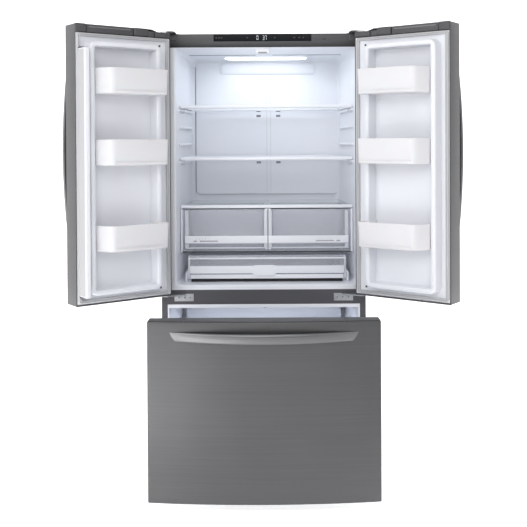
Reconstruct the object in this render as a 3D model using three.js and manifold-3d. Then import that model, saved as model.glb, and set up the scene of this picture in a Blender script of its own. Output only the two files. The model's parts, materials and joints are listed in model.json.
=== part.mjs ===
// A french door refrigerator: two doors over a bottom freezer drawer.
// Millimetres. X is to the right, Y runs into the cabinet from its front plane, Z is up from the floor.
// It stands as it is used to load it: both doors swung open, the freezer drawer pulled out.
import * as THREE from "three";
import { mergeVertices } from "three/addons/utils/BufferGeometryUtils.js";
import Module from "manifold-3d";

const wasm = await Module();
wasm.setup();

// ------------------------------------------------------------------ driving dimensions: cabinet
const WIDTH = 832; // over the side panels
const CASE_DEPTH = 676; // front plane to the back of the back panel
const CASE_BOTTOM = 36; // underside of the base pan
const CASE_TOP = 1741; // top of the top panel
const SHEET = 1.5; // steel sheet of the case and of the fronts
const FRONT_FLANGE = 24; // how far the side panels turn in on the front plane
const WALL = 3; // moulded liners, bins and drawers
const FIT = 0.3; // gap between pieces that touch
const SLIDE_GAP = 1.5; // gap beside a piece that slides
const CAP_DEPTH = 44; // the control housing, front to back
const CAP_RISE = 6; // its top over the case top
const CAP_HEIGHT = 54;
const CAP_SLOPE = [13, 20]; // its lower front face leans back this far over this height
const DISPLAY_HALF = 199; // half the display's width
const DISPLAY_DROP = [2, 31]; // its upper and lower edge, below the top of the housing
const DISPLAY_DEPTH = 2;
const MACHINE_DEPTH = 232; // compressor compartment, from the back panel
const MACHINE_HEIGHT = 212; // above the base pan
const STEP_ABOVE = 14; // freezer liner over the compressor compartment

// ------------------------------------------------------------------ driving dimensions: compartments
const FRESH_SIDE = 46; // wall beside the fresh food compartment, at its mouth
const FRESH_SHIFT = 14; // the compartment sits this far to the right of the middle
const FRESH_TAPER = 25; // each side wall leans in by this much at the back
const FRESH_BEHIND = 116; // foam and air duct behind the compartment, to the back panel
const FRESH_ROOF = 48; // from the top of the case down to the ceiling
const FREEZER_SIDE = 30;
const FREEZER_BEHIND = 76;
const FREEZER_FLOOR = 26; // above the underside of the case
const RAIL_ABOVE = 14; // the centre rail laps over the doors' lower edge
const RAIL_BELOW = 28; // and over the drawer's upper edge
const RAIL_DEPTH = 30;
const RAIL_LIP = 19; // from the rail up to the fresh food floor
const RAIL_DROP = 14; // from the rail down to the freezer ceiling

// ------------------------------------------------------------------ driving dimensions: fronts
const FRONT_GAP = 12; // front plane to the back of the doors, filled by the gasket
const EDGE_THICKNESS = 59; // doors and drawer at the cabinet's sides
const FRONT_BOW = 25; // how much thicker they are at the middle
const CORNER = 9; // rounding of their front edges
const SIDE_INSET = 2;
const CENTRE_GAP = 4; // between the two doors
const DRAWER_BOTTOM = 30;
const DRAWER_TOP = 674;
const LEVEL_GAP = 17; // between the drawer and the doors
const DOOR_RISE = 13; // doors over the case top
const SEAT_LENGTH = 74; // lowered corner of each door under the top hinge, from the hinge side
const SEAT_DEPTH = 9;
const LINER_FOOT = 7; // door liner above the door's lower edge
const LINER_HEAD = 33; // and below its upper edge
const LINER_INSET = 4;
const GASKET_WIDTH = 12;
const GASKET_FREE_INSET = 6; // from the door's free edge
const GASKET_PAST_PIN = 4; // on the hinge side, outside the pin, so that it swings clear of the case
const GASKET_FOOT = 12;
const GASKET_HEAD = 35;
const DRAWER_GASKET_SIDE = 8;
const DRAWER_GASKET_FOOT = 16;
const DRAWER_GASKET_HEAD = 10;

// ------------------------------------------------------------------ driving dimensions: motion
const HINGE_INSET = 18; // hinge pins, in from the cabinet's sides
const PIN_SHARE = 26 / 59; // and this share of the door's edge thickness into it, from its back
const PIN_RADIUS = 5;
const PIN_LENGTH = 20;
const PIN_CLEARANCE = 1;
const ARM_GAP = 2; // between a hinge arm and the door
const ARM_END = 12; // arm round the pin
const TOP_ARM = 5; // thickness
const MID_ARM = 4;
const TOP_HINGE_SIDE = [8, 86]; // its foot, in from the cabinet's side
const TOP_HINGE_FOOT = [8, 84]; // and behind the control housing
const MID_PLATE_SIDE = [52, 130]; // in from the cabinet's side
const MID_PLATE_RISE = 13; // over the rail's lower edge
const MID_PLATE_DEPTH = 3;
const OPEN_ANGLE = 143.45;
const DRAWER_TRAVEL = 407;

// ------------------------------------------------------------------ driving dimensions: door furniture
const DYKE_HINGE_SIDE = 70; // dyke, in from the cabinet's side
const DYKE_FREE_SIDE = 40; // dyke, back from the middle
const DYKE_FOOT = 41; // dyke, up from the door's lower edge
const DYKE_HEAD = 65; // dyke, down from the door's upper edge
const DYKE_WIDTH = 22;
const DYKE_HEIGHT = 50;
const RECESS_DEPTH = 28; // recess behind the bins, from the liner's face
const BIN_REACH = 112; // bin front, out from the liner's face
const BIN_HEIGHT = 98;
const BIN_SLANT = 35; // how far a bin's free end leans back
const BIN_SHARES = [0.177, 0.572, 0.901]; // of the recess's height that a bin leaves free
const BIN_CLEAR = 1; // to the recess
const BIN_EAR = 4; // its hinge end stops this far short of the dyke's outer side
const MULLION_WIDTH = 62;
const MULLION_THICKNESS = 20;
const MULLION_PIVOT = 11; // its pin ahead of the front plane
const MULLION_SETBACK = 18; // its pin, back from the middle
const MULLION_MARGIN = 42; // door's lower edge to the flap
const MULLION_HEADROOM = 96; // flap to the door's upper edge
const LUG_HALF = 8;
const LUG_THICKNESS = 5;
const LUG_GAP = 1; // between the flap and its lugs
const LUG_POST = 18;
const GUIDE_HALF = 28; // flap guide under the control housing
const GUIDE_GAP = 3; // over the flap's upper lug
const TRACK_HALF = 12;
const TRACK_DEPTH = 12;
const HANDLE_STANDOFF = 60;
const HANDLE_BAR = 14;
const HANDLE_WIDTH = 30;
const HANDLE_LENGTH = 760;
const HANDLE_LIFT = 45; // its middle over the door's middle
const HANDLE_EDGE = 25; // its middle, in from the free edge
const DRAWER_HANDLE_LENGTH = 650;
const DRAWER_HANDLE_HEIGHT = 35;
const DRAWER_HANDLE_DROP = 53; // its middle below the drawer's upper edge

// ------------------------------------------------------------------ driving dimensions: inside
const SHELF_FRONT = 116;
const SHELF_BEHIND = 38; // shelves to the back wall
const SHELF_THICKNESS = 14;
const SHELF_SHARES = [0.31, 0.6455]; // of the room over the crispers
const SHELF_SIDE_GAP = 2;
const PANE_MARGIN = [22, 14]; // the pane's frame, at the front and at the back
const PANE_SIDE = 16;
const PANE_THICKNESS = 5;
const LEDGE = 9;
const LEDGE_THICKNESS = 8;
const CRISPER_COVER_TOP = 318; // above the fresh food floor
const CRISPER_COVER = 14;
const CRISPER_FLOOR_TOP = 132;
const CRISPER_FLOOR = 10;
const CRISPER_DIVIDER = 24;
const CRISPER_DIVIDER_OFFSET = 5;
const CRISPER_BEHIND = 16; // crispers to the back of their frame
const CRISPER_MARGIN = 26; // clear of the wall at the mouth
const CRISPER_HEADROOM = 4;
const BAND_THICKNESS = 8; // handle bands of the inner drawers
const CRISPER_BAND = [26, 56]; // above the crisper's floor
const SLIDER_LENGTH = 34;
const SLIDER_TRAVEL = 60;
const SLIDER_GRIP = 10; // length of its knob
const SLIDER_SIDE = 40; // its slot, in from the crisper's side
const SLOT_RISE = [3, 13]; // above the band's lower edge
const SLOT_DEPTH = 5;
const SLOT_END = 4;
const PANTRY_BEHIND_FLAP = 3;
const PANTRY_HEIGHT = 96;
const PANTRY_RAISE = 14;
const PANTRY_MARGIN = 40;
const PANTRY_BEHIND = 66; // pantry drawer to the back wall
const PANTRY_BAND = [23, 54]; // above the drawer's floor
const PANTRY_GRIP = [12, 61]; // the taller middle of the band
const PANTRY_GRIP_SIDE = [-62, 38]; // from the middle of the compartment
const RUNNER_HALF = 8;
const RUNNER_SIDE = 40;
const RUNNER_END = 20;
const LAMP_HALF = 188;
const LAMP_BACK = [60, 150]; // lamp cover, ahead of the back wall
const LAMP_DROP = 7;
const DUCT_OFFSET = 12; // the duct cover, right of the compartment's middle
const DUCT_HALF = 230;
const DUCT_THICKNESS = 14;
const DUCT_FOOT = 20; // above the crisper cover
const DUCT_HEAD = 12; // below the ceiling
const VENT_OFFSET = 46;
const VENT_HALF = [20, 5]; // across and up
const PLUG_FACE = 2; // the drawer liner's raised middle, from the front plane
const BASKET_FRONT = 10;
const BASKET_BEHIND = 190; // basket to the freezer's back wall, with the drawer shut
const BASKET_SIDE = 38; // from the freezer wall
const BASKET_FOOT = 50;
const BASKET_HEIGHT = 440;
const TRAY_HEIGHT = 42;
const TRAY_GAP = 1;
const RAIL_HEIGHT = 30;
const RAIL_THICKNESS = 11;
const RAIL_LEVEL = 330; // above the freezer floor
const RAIL_BEHIND = 70; // fixed rail to the freezer's back wall
const TRACK_WALL = 4;
const COVER_AHEAD = 50; // evaporator cover, ahead of the freezer's back wall

// ------------------------------------------------------------------ driving dimensions: machinery, feet
const ROLLER_RADIUS = 16;
const ROLLER_WIDTH = 22;
const AXLE_RADIUS = 4;
const ROLLER_BACK = 70; // axle ahead of the back panel
const ROLLER_SIDE = 60;
const SKIRT_HEIGHT = 18;
const LEG_RADIUS = 18;
const LEG_SIDE = 46;
const LEG_BACK = 48;
const LOUVRE_COUNT = 7;
const LOUVRE_PITCH = 60;
const LOUVRE_WIDTH = 24;
const LOUVRE_SIDE = 116; // first one, in from the cabinet's side
const LOUVRE_RISE = [40, 130]; // above the cover's lower edge
const COMPRESSOR_RADIUS = 82;
const COMPRESSOR_HEIGHT = 165;
const FAN_RADIUS = 70;
const EVAPORATOR_FAN_RADIUS = 42;

// ------------------------------------------------------------------ sizes that follow
const half = WIDTH / 2;
const flangeEdge = half - FRONT_FLANGE;
const doorBottom = DRAWER_TOP + LEVEL_GAP;
const doorTop = CASE_TOP + DOOR_RISE;
const railTop = doorBottom + RAIL_ABOVE;
const railBottom = DRAWER_TOP - RAIL_BELOW;
const freshFloor = railTop + RAIL_LIP;
const freshCeiling = CASE_TOP - FRESH_ROOF;
const freshHalf = half - FRESH_SIDE;
const freezerHalf = half - FREEZER_SIDE;
const freezerFloor = CASE_BOTTOM + FREEZER_FLOOR;
const freezerCeiling = railBottom - RAIL_DROP;
const machineFront = CASE_DEPTH - MACHINE_DEPTH;
const machineTop = CASE_BOTTOM + MACHINE_HEIGHT;
const capTop = CASE_TOP + CAP_RISE;
const capBottom = capTop - CAP_HEIGHT;
const hinge = new THREE.Vector2(-(half - HINGE_INSET), -(FRONT_GAP + PIN_SHARE * EDGE_THICKNESS));
const linerFace = -FRONT_GAP;
const crest = linerFace + DYKE_HEIGHT;
const recessFloor = linerFace - RECESS_DEPTH;
const door = { x: [-half + SIDE_INSET, -CENTRE_GAP / 2], z: [doorBottom, doorTop] };
const doorLinerZ = [doorBottom + LINER_FOOT, doorTop - LINER_HEAD];
const dyke = {
  x: [-half + DYKE_HINGE_SIDE, -DYKE_FREE_SIDE],
  z: [doorBottom + DYKE_FOOT, doorTop - DYKE_HEAD],
};
const recess = { x: shrink(dyke.x, DYKE_WIDTH), z: shrink(dyke.z, DYKE_WIDTH) };
const mullionZ = [doorBottom + MULLION_MARGIN, doorTop - MULLION_HEADROOM];
const mullionPin = new THREE.Vector2(-MULLION_SETBACK, MULLION_PIVOT);
const flapReach = MULLION_PIVOT - MULLION_THICKNESS / 2 + MULLION_WIDTH;
const pantryFront = flapReach + PANTRY_BEHIND_FLAP + BAND_THICKNESS;
const crisperCoverTop = freshFloor + CRISPER_COVER_TOP;
const crisperFloorTop = freshFloor + CRISPER_FLOOR_TOP;
const shelfTops = SHELF_SHARES.map((s) => crisperCoverTop + s * (freshCeiling - crisperCoverTop));
const dividerX = FRESH_SHIFT + CRISPER_DIVIDER_OFFSET;
const basketFloor = freezerFloor + BASKET_FOOT;
const basketTop = basketFloor + BASKET_HEIGHT;
const basketHalf = freezerHalf - BASKET_SIDE;
const railZ = [freezerFloor + RAIL_LEVEL, freezerFloor + RAIL_LEVEL + RAIL_HEIGHT];
const freshDepth = CASE_DEPTH - FRESH_BEHIND;
const freezerDepth = CASE_DEPTH - FREEZER_BEHIND;
const shelfBack = freshDepth - SHELF_BEHIND;
const crisperBack = shelfBack - CRISPER_BEHIND;
const basketBack = freezerDepth - BASKET_BEHIND;
const railLength = freezerDepth - RAIL_BEHIND;
const coverBack = freezerDepth - COVER_AHEAD;

// ------------------------------------------------------------------ materials
const surface = (color, roughness, metalness) => () =>
  new THREE.MeshStandardMaterial({ color, roughness, metalness });
const stainless = surface(0x6e7175, 0.34, 0.9);
const darkSheet = surface(0x77797d, 0.45, 0.35);
const greyPlastic = surface(0x8b8d91, 0.5, 0);
const whitePlastic = surface(0xe9ebee, 0.4, 0);
const frostedPlastic = surface(0xe4e4e8, 0.3, 0);
const clearPlastic = surface(0xd5dde2, 0.12, 0);
const glass = surface(0xc9d8dc, 0.06, 0);
const blackGlass = surface(0x0a0b0d, 0.08, 0);
const gasketRubber = surface(0xa9abae, 0.75, 0);
const zincSteel = surface(0xb4b6b8, 0.38, 0.85);
const blackPaint = surface(0x18191b, 0.55, 0.2);
const finStock = surface(0xc3c6c9, 0.4, 0.8);
const blackPlastic = surface(0x1b1c1e, 0.6, 0);

// ------------------------------------------------------------------ shape helpers
function shrink([low, high], by) {
  return [low + by, high - by];
}

function box([x0, x1], [y0, y1], [z0, z1]) {
  const block = new THREE.BoxGeometry(x1 - x0, y1 - y0, z1 - z0);
  return block.translate((x0 + x1) / 2, (y0 + y1) / 2, (z0 + z1) / 2);
}

function polygon(points) {
  return new THREE.Shape(points.map(([x, y]) => new THREE.Vector2(x, y)));
}

function roundedRect([x0, x1], [y0, y1], r) {
  const shape = new THREE.Shape();
  shape.absarc(x1 - r, y0 + r, r, -Math.PI / 2, 0);
  shape.absarc(x1 - r, y1 - r, r, 0, Math.PI / 2);
  shape.absarc(x0 + r, y1 - r, r, Math.PI / 2, Math.PI);
  shape.absarc(x0 + r, y0 + r, r, Math.PI, Math.PI * 1.5);
  shape.closePath();
  return shape;
}

// An outline of X and Y, raised along Z.
function upZ(shape, [z0, z1], curveSegments = 4) {
  const options = { depth: z1 - z0, bevelEnabled: false, curveSegments };
  const solid = new THREE.ExtrudeGeometry(shape, options);
  return solid.translate(0, 0, z0);
}

// An outline of Y and Z, run along X.
function alongX(shape, [x0, x1], curveSegments = 4) {
  const turn = new THREE.Matrix4().makeBasis(
    new THREE.Vector3(0, 1, 0),
    new THREE.Vector3(0, 0, 1),
    new THREE.Vector3(1, 0, 0),
  );
  return upZ(shape, [0, x1 - x0], curveSegments).applyMatrix4(turn).translate(x0, 0, 0);
}

// An outline of X and Z, run along Y.
function alongY(shape, [y0, y1], curveSegments = 4) {
  return upZ(shape, [0, y1 - y0], curveSegments).rotateX(Math.PI / 2).translate(0, y1, 0);
}

// A round bar about an axis through centre: "x", "y" or "z".
function rod(axis, centre, radius, length, sides = 16) {
  const bar = new THREE.CylinderGeometry(radius, radius, length, sides);
  if (axis === "x") bar.rotateZ(Math.PI / 2);
  if (axis === "z") bar.rotateX(Math.PI / 2);
  return bar.translate(...centre);
}

function toSolid(shape) {
  if (!shape.isBufferGeometry) return shape;
  const bare = shape.index ? shape.toNonIndexed() : shape.clone();
  bare.deleteAttribute("normal");
  bare.deleteAttribute("uv");
  const merged = mergeVertices(bare, 1e-4);
  const mesh = new wasm.Mesh({
    numProp: 3,
    vertProperties: merged.attributes.position.array,
    triVerts: new Uint32Array(merged.index.array),
  });
  return new wasm.Manifold(mesh);
}

function join(...shapes) {
  return shapes.map(toSolid).reduce((whole, next) => whole.add(next));
}

function cut(base, ...tools) {
  return tools.map(toSolid).reduce((left, tool) => left.subtract(tool), toSolid(base));
}

function toGeometry(shape) {
  if (shape.isBufferGeometry) return shape;
  const { vertProperties, triVerts } = shape.getMesh();
  const geometry = new THREE.BufferGeometry();
  geometry.setAttribute("position", new THREE.BufferAttribute(vertProperties, 3));
  geometry.setIndex(new THREE.BufferAttribute(triVerts, 1));
  const faceted = geometry.toNonIndexed();
  faceted.computeVertexNormals();
  return faceted;
}

function add(group, name, material, shape) {
  const mesh = new THREE.Mesh(toGeometry(shape), material());
  mesh.name = name;
  group.add(mesh);
  return mesh;
}

// A box with walls and a floor, open at the top.
function openBox(x, y, [z0, z1], wall = WALL) {
  return cut(box(x, y, [z0, z1]), box(shrink(x, wall), shrink(y, wall), [z0 + wall, z1 + 1]));
}

// ------------------------------------------------------------------ bowed fronts
function frontY(x) {
  return -(FRONT_GAP + EDGE_THICKNESS + FRONT_BOW * (1 - (x / half) ** 2));
}

// Plan outline of a front from x0 to x1, drawn smaller by inset, with its back edge at back.
function frontOutline([x0, x1], back, inset) {
  const [a, b] = shrink([x0, x1], inset);
  const front = (x) => frontY(x) + inset;
  const radius = Math.max(CORNER - inset, 1);
  const steps = 8;
  const shape = new THREE.Shape();
  shape.moveTo(a, back);
  shape.lineTo(a, front(a) + radius);
  shape.quadraticCurveTo(a, front(a), a + radius, front(a + radius));
  for (let i = 1; i <= steps; i++) {
    const x = a + radius + ((b - a - 2 * radius) * i) / steps;
    shape.lineTo(x, front(x));
  }
  shape.quadraticCurveTo(b, front(b), b, front(b) + radius);
  shape.lineTo(b, back);
  shape.closePath();
  return shape;
}

// The corner of a door that is lowered under the top hinge, grown by extra.
function hingeSeat(extra) {
  const x = [door.x[0] - 1, door.x[0] + SEAT_LENGTH + extra];
  return box(x, [frontY(0), linerFace + 1], [doorTop - SEAT_DEPTH - extra, doorTop + 1]);
}

// A sheet metal front: bowed face, four sides and a narrow return round the liner at the back.
function frontPan(x, z, linerZ, seated = false) {
  let whole = upZ(frontOutline(x, linerFace, 0), z);
  let hollow = upZ(frontOutline(x, linerFace - SHEET, SHEET), shrink(z, SHEET));
  if (seated) {
    whole = cut(whole, hingeSeat(0));
    hollow = cut(hollow, hingeSeat(SHEET));
  }
  const window = box(shrink(x, LINER_INSET), [linerFace - WALL * 2, linerFace + 1], linerZ);
  return cut(whole, hollow, window);
}

function frame(x, z, width, y) {
  return cut(box(x, y, z), box(shrink(x, width), [y[0] - 1, y[1] + 1], shrink(z, width)));
}

function gasket(x, z) {
  return frame(x, z, GASKET_WIDTH, [linerFace + FIT, -FIT]);
}

// Side outline of a bowed handle, as [along, out] points, from start to end, ending flat on the face.
function handleProfile(start, end, standoff, bar) {
  const steps = 14;
  const rise = (t) => 4 * t * (1 - t) * standoff;
  const touch = (1 - Math.sqrt(1 - bar / standoff)) / 2;
  const at = (t) => start + (end - start) * t;
  const points = [];
  for (let i = 0; i <= steps; i++) points.push([at(i / steps), rise(i / steps)]);
  for (let i = steps; i >= 0; i--) {
    const t = touch + ((1 - 2 * touch) * i) / steps;
    points.push([at(t), rise(t) - bar]);
  }
  return points;
}

// ------------------------------------------------------------------ cabinet shell
function sidePanel() {
  const sheet = box([-half, -half + SHEET], [0, CASE_DEPTH], [CASE_BOTTOM, CASE_TOP]);
  const flange = box([-half, -flangeEdge], [0, SHEET], [CASE_BOTTOM, CASE_TOP]);
  return join(sheet, flange);
}

const innerHalf = half - SHEET - FIT;

function topPanel() {
  return box([-innerHalf, innerHalf], [CAP_DEPTH + FIT, CASE_DEPTH], [CASE_TOP - SHEET, CASE_TOP]);
}

function backPanel() {
  const z = [machineTop + FIT, CASE_TOP - SHEET - FIT];
  return box([-innerHalf, innerHalf], [CASE_DEPTH - SHEET, CASE_DEPTH], z);
}

function machineCover() {
  const z = [CASE_BOTTOM + SHEET + FIT, machineTop];
  let cover = toSolid(box([-innerHalf, innerHalf], [CASE_DEPTH - SHEET, CASE_DEPTH], z));
  const louvreZ = LOUVRE_RISE.map((rise) => z[0] + rise);
  for (let i = 0; i < LOUVRE_COUNT; i++) {
    const x = -half + LOUVRE_SIDE + i * LOUVRE_PITCH;
    cover = cut(cover, box([x, x + LOUVRE_WIDTH], [CASE_DEPTH - SHEET - 1, CASE_DEPTH + 1], louvreZ));
  }
  return cut(cover, rod("y", [inlet.x, CASE_DEPTH, inlet.z], inlet.neck + FIT, 20));
}

const inlet = { x: innerHalf - 110, z: CASE_BOTTOM + 175, neck: 9, rim: 16 };

function powerInlet() {
  const profile = [
    [0, 0],
    [inlet.neck, 0],
    [inlet.neck, 10],
    [inlet.rim, 10],
    [inlet.rim, 14],
    [inlet.neck, 22],
    [0, 22],
  ].map(([r, h]) => new THREE.Vector2(r, h));
  const gland = new THREE.LatheGeometry(profile, 16);
  return gland.translate(inlet.x, CASE_DEPTH - 10 + FIT, inlet.z);
}

const roller = { x: half - ROLLER_SIDE, y: CASE_DEPTH - ROLLER_BACK, z: ROLLER_RADIUS };

function rollerBracket(side) {
  const x = side * roller.x;
  const earY = [roller.y - AXLE_RADIUS - 5, roller.y + AXLE_RADIUS + 5];
  const earZ = [roller.z - AXLE_RADIUS - 4, CASE_BOTTOM + 1];
  const ear = (at) => box([at - SHEET, at + SHEET], earY, earZ);
  const gap = ROLLER_WIDTH / 2 + 3;
  const axle = rod("x", [x, roller.y, roller.z], AXLE_RADIUS, 2 * gap + 6);
  return join(ear(x - gap), ear(x + gap), axle);
}

function basePan() {
  const x = [-innerHalf, innerHalf];
  const plate = box(x, [SHEET + FIT, CASE_DEPTH - SHEET - FIT], [CASE_BOTTOM, CASE_BOTTOM + SHEET]);
  const skirt = box(x, [SHEET + FIT, 4], [CASE_BOTTOM, CASE_BOTTOM + SKIRT_HEIGHT]);
  return join(plate, skirt, rollerBracket(-1), rollerBracket(1));
}

function rearRoller(side) {
  const wheel = rod("x", [side * roller.x, roller.y, roller.z], ROLLER_RADIUS, ROLLER_WIDTH, 24);
  return cut(wheel, rod("x", [side * roller.x, roller.y, roller.z], AXLE_RADIUS + FIT, ROLLER_WIDTH + 2));
}

function frontLeg() {
  const profile = [
    [0, 0],
    [LEG_RADIUS - 2, 0],
    [LEG_RADIUS, 2],
    [LEG_RADIUS, 9],
    [8, 13],
    [6, CASE_BOTTOM - FIT],
    [0, CASE_BOTTOM - FIT],
  ].map(([r, h]) => new THREE.Vector2(r, h));
  const leg = new THREE.LatheGeometry(profile, 20).rotateX(Math.PI / 2);
  return leg.translate(-half + LEG_SIDE, LEG_BACK, 0);
}

function centreRail() {
  const x = [-flangeEdge + FIT, flangeEdge - FIT];
  const bar = box(x, [0, RAIL_DEPTH], [railBottom, railTop]);
  return cut(bar, midHingePlate(-1, FIT), midHingePlate(1, FIT));
}

// The steel plate let into the rail's face, and with extra, the pocket that it sits in.
function midHingePlate(side, extra = 0) {
  const ends = [half - MID_PLATE_SIDE[1] - extra, half - MID_PLATE_SIDE[0] + extra];
  const x = side < 0 ? [-ends[1], -ends[0]] : ends;
  const z = [railBottom + MID_PLATE_RISE - extra, doorBottom - ARM_GAP + extra];
  return box(x, [extra ? -1 : 0, MID_PLATE_DEPTH + extra], z);
}

function midHinge() {
  const armZ = [doorBottom - ARM_GAP - MID_ARM, doorBottom - ARM_GAP];
  const outline = polygon([
    [-half + MID_PLATE_SIDE[0] + 4, MID_PLATE_DEPTH],
    [-half + MID_PLATE_SIDE[0] + 48, MID_PLATE_DEPTH],
    [-half + MID_PLATE_SIDE[0] + 44, -10],
    [hinge.x + ARM_END, hinge.y - ARM_END],
    [hinge.x - ARM_END, hinge.y - ARM_END],
    [hinge.x - ARM_END, hinge.y + ARM_END / 2],
  ]);
  const pin = rod("z", [hinge.x, hinge.y, armZ[0] + PIN_LENGTH / 2], PIN_RADIUS, PIN_LENGTH);
  return join(midHingePlate(-1), upZ(outline, armZ), pin);
}

function topHinge() {
  const seat = doorTop - SEAT_DEPTH;
  const armZ = [seat + ARM_GAP, seat + ARM_GAP + TOP_ARM];
  const footX = TOP_HINGE_SIDE.map((side) => side - half);
  const footY = TOP_HINGE_FOOT.map((back) => CAP_DEPTH + back);
  const foot = box(footX, footY, [CASE_TOP + FIT, armZ[1]]);
  const outline = polygon([
    [footX[0], (footY[0] + footY[1]) / 2],
    [footX[1], (footY[0] + footY[1]) / 2],
    [footX[1] - 26, 0],
    [hinge.x + ARM_END, hinge.y - ARM_END],
    [hinge.x - ARM_END, hinge.y - ARM_END],
  ]);
  const pin = rod("z", [hinge.x, hinge.y, armZ[1] - PIN_LENGTH / 2], PIN_RADIUS, PIN_LENGTH);
  return join(foot, upZ(outline, armZ), pin);
}

// ------------------------------------------------------------------ compartments
// Half width of the fresh food compartment at depth y.
function wallX(y) {
  return freshHalf - (FRESH_TAPER * y) / freshDepth;
}

// Plan outline that follows the leaning side walls, held off them by gap, from y0 to y1.
function taperedPlan(gap, [y0, y1]) {
  const edge = (y) => wallX(y) - gap;
  return polygon([
    [FRESH_SHIFT - edge(y0), y0],
    [FRESH_SHIFT + edge(y0), y0],
    [FRESH_SHIFT + edge(y1), y1],
    [FRESH_SHIFT - edge(y1), y1],
  ]);
}

// A ledge along one side wall, with its top at z.
function wallLedge(side, z) {
  const wall = (y, off) => FRESH_SHIFT + side * (wallX(y) - off);
  const y0 = SHELF_FRONT + 4;
  const y1 = shelfBack;
  const outline = polygon([
    [wall(y0, -1), y0],
    [wall(y0, LEDGE), y0],
    [wall(y1, LEDGE), y1],
    [wall(y1, -1), y1],
  ]);
  return upZ(outline, [z - LEDGE_THICKNESS, z]);
}

function freshFoodLiner() {
  const outer = upZ(taperedPlan(-WALL, [0, freshDepth + WALL]), [freshFloor - WALL, freshCeiling + WALL]);
  const room = upZ(taperedPlan(0, [-5, freshDepth]), [freshFloor, freshCeiling]);
  const flange = box(
    [-flangeEdge + FIT, flangeEdge - FIT],
    [0, WALL],
    [railTop + FIT, capBottom - FIT],
  );
  const capRoom = box([-half, half], [-1, CAP_DEPTH + FIT], [capBottom - FIT, CASE_TOP + 10]);
  let liner = cut(join(outer, flange), room, capRoom);
  const levels = shelfTops.map((top) => top - SHELF_THICKNESS - FIT);
  const spare = (levels[0] + levels[1]) / 2;
  for (const level of [...levels, spare]) {
    liner = join(liner, wallLedge(-1, level), wallLedge(1, level));
  }
  return liner;
}

// Side outline of the freezer room, with the step over the machine compartment, grown by grow.
function freezerSide(grow, mouth) {
  const step = machineFront - 12;
  const floor = freezerFloor - grow;
  const back = freezerDepth + grow;
  const stepTop = machineTop + STEP_ABOVE + WALL - grow;
  return polygon([
    [mouth, floor],
    [step - WALL + grow, floor],
    [step - WALL + grow, stepTop],
    [back, stepTop],
    [back, freezerCeiling + grow],
    [mouth, freezerCeiling + grow],
  ]);
}

function freezerLiner() {
  const outer = alongX(freezerSide(WALL, 0), [-freezerHalf - WALL, freezerHalf + WALL]);
  const room = alongX(freezerSide(0, -5), [-freezerHalf, freezerHalf]);
  const z = [CASE_BOTTOM + SKIRT_HEIGHT + FIT, railBottom - FIT];
  const flange = box([-flangeEdge + FIT, flangeEdge - FIT], [0, WALL], z);
  return cut(join(outer, flange), room);
}

function controlHousing() {
  const outline = polygon([
    [0, capBottom + CAP_SLOPE[1]],
    [0, capTop],
    [CAP_DEPTH, capTop],
    [CAP_DEPTH, capBottom],
    [CAP_SLOPE[0], capBottom],
  ]);
  const body = alongX(outline, [-flangeEdge + FIT, flangeEdge - FIT]);
  const guideFoot = mullionZ[1] + LUG_GAP + LUG_THICKNESS + GUIDE_GAP;
  const guide = box([-GUIDE_HALF, GUIDE_HALF], [CAP_SLOPE[0], CAP_DEPTH], [guideFoot, capBottom + 1]);
  const trackY = [CAP_SLOPE[0] - 1, CAP_DEPTH - 10];
  const track = box([-TRACK_HALF, TRACK_HALF], trackY, [guideFoot - 1, guideFoot + TRACK_DEPTH]);
  return cut(join(body, guide), track, displayPlate(FIT));
}

// The display set into the housing's face, and with extra, the pocket that it sits in.
function displayPlate(extra) {
  const x = [-DISPLAY_HALF - extra, DISPLAY_HALF + extra];
  const z = [capTop - DISPLAY_DROP[1] - extra, capTop - DISPLAY_DROP[0] + extra];
  return box(x, [extra ? -1 : 0, DISPLAY_DEPTH + extra], z);
}

function lampCover() {
  const x = [FRESH_SHIFT - LAMP_HALF, FRESH_SHIFT + LAMP_HALF];
  const y = [freshDepth - LAMP_BACK[1], freshDepth - LAMP_BACK[0]];
  return upZ(roundedRect(x, y, 20), [freshCeiling - LAMP_DROP, freshCeiling - FIT]);
}

function airDuctCover() {
  const middle = FRESH_SHIFT + DUCT_OFFSET;
  const x = [middle - DUCT_HALF, middle + DUCT_HALF];
  const z = [crisperCoverTop + DUCT_FOOT, freshCeiling - DUCT_HEAD];
  const y = [freshDepth - DUCT_THICKNESS, freshDepth - FIT];
  const vents = [];
  for (const top of shelfTops) {
    for (const at of [middle - VENT_OFFSET, middle + VENT_OFFSET]) {
      const ventX = [at - VENT_HALF[0], at + VENT_HALF[0]];
      vents.push(box(ventX, [y[0] - 1, y[0] + DUCT_THICKNESS / 2], [top - 2 * VENT_HALF[1], top]));
    }
  }
  return cut(alongY(roundedRect(x, z, 18), y), ...vents);
}

function shelf(top) {
  const y = [SHELF_FRONT, shelfBack];
  const slab = upZ(taperedPlan(SHELF_SIDE_GAP, y), [top - SHELF_THICKNESS, top]);
  const paneY = [y[0] + PANE_MARGIN[0], y[1] - PANE_MARGIN[1]];
  const underside = [top - SHELF_THICKNESS - 1, top - PANE_THICKNESS];
  return cut(slab, upZ(taperedPlan(PANE_SIDE, paneY), underside));
}

function crisperFrame() {
  const y = [SHELF_FRONT, shelfBack];
  const plan = taperedPlan(SHELF_SIDE_GAP, y);
  const cover = upZ(plan, [crisperCoverTop - CRISPER_COVER, crisperCoverTop]);
  const floor = upZ(plan, [crisperFloorTop - CRISPER_FLOOR, crisperFloorTop]);
  const x = [dividerX - CRISPER_DIVIDER / 2, dividerX + CRISPER_DIVIDER / 2];
  const divider = box(x, [SHELF_FRONT + 2, shelfBack - 2], [crisperFloorTop - 1, crisperCoverTop - 1]);
  return join(cover, floor, divider);
}

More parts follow.
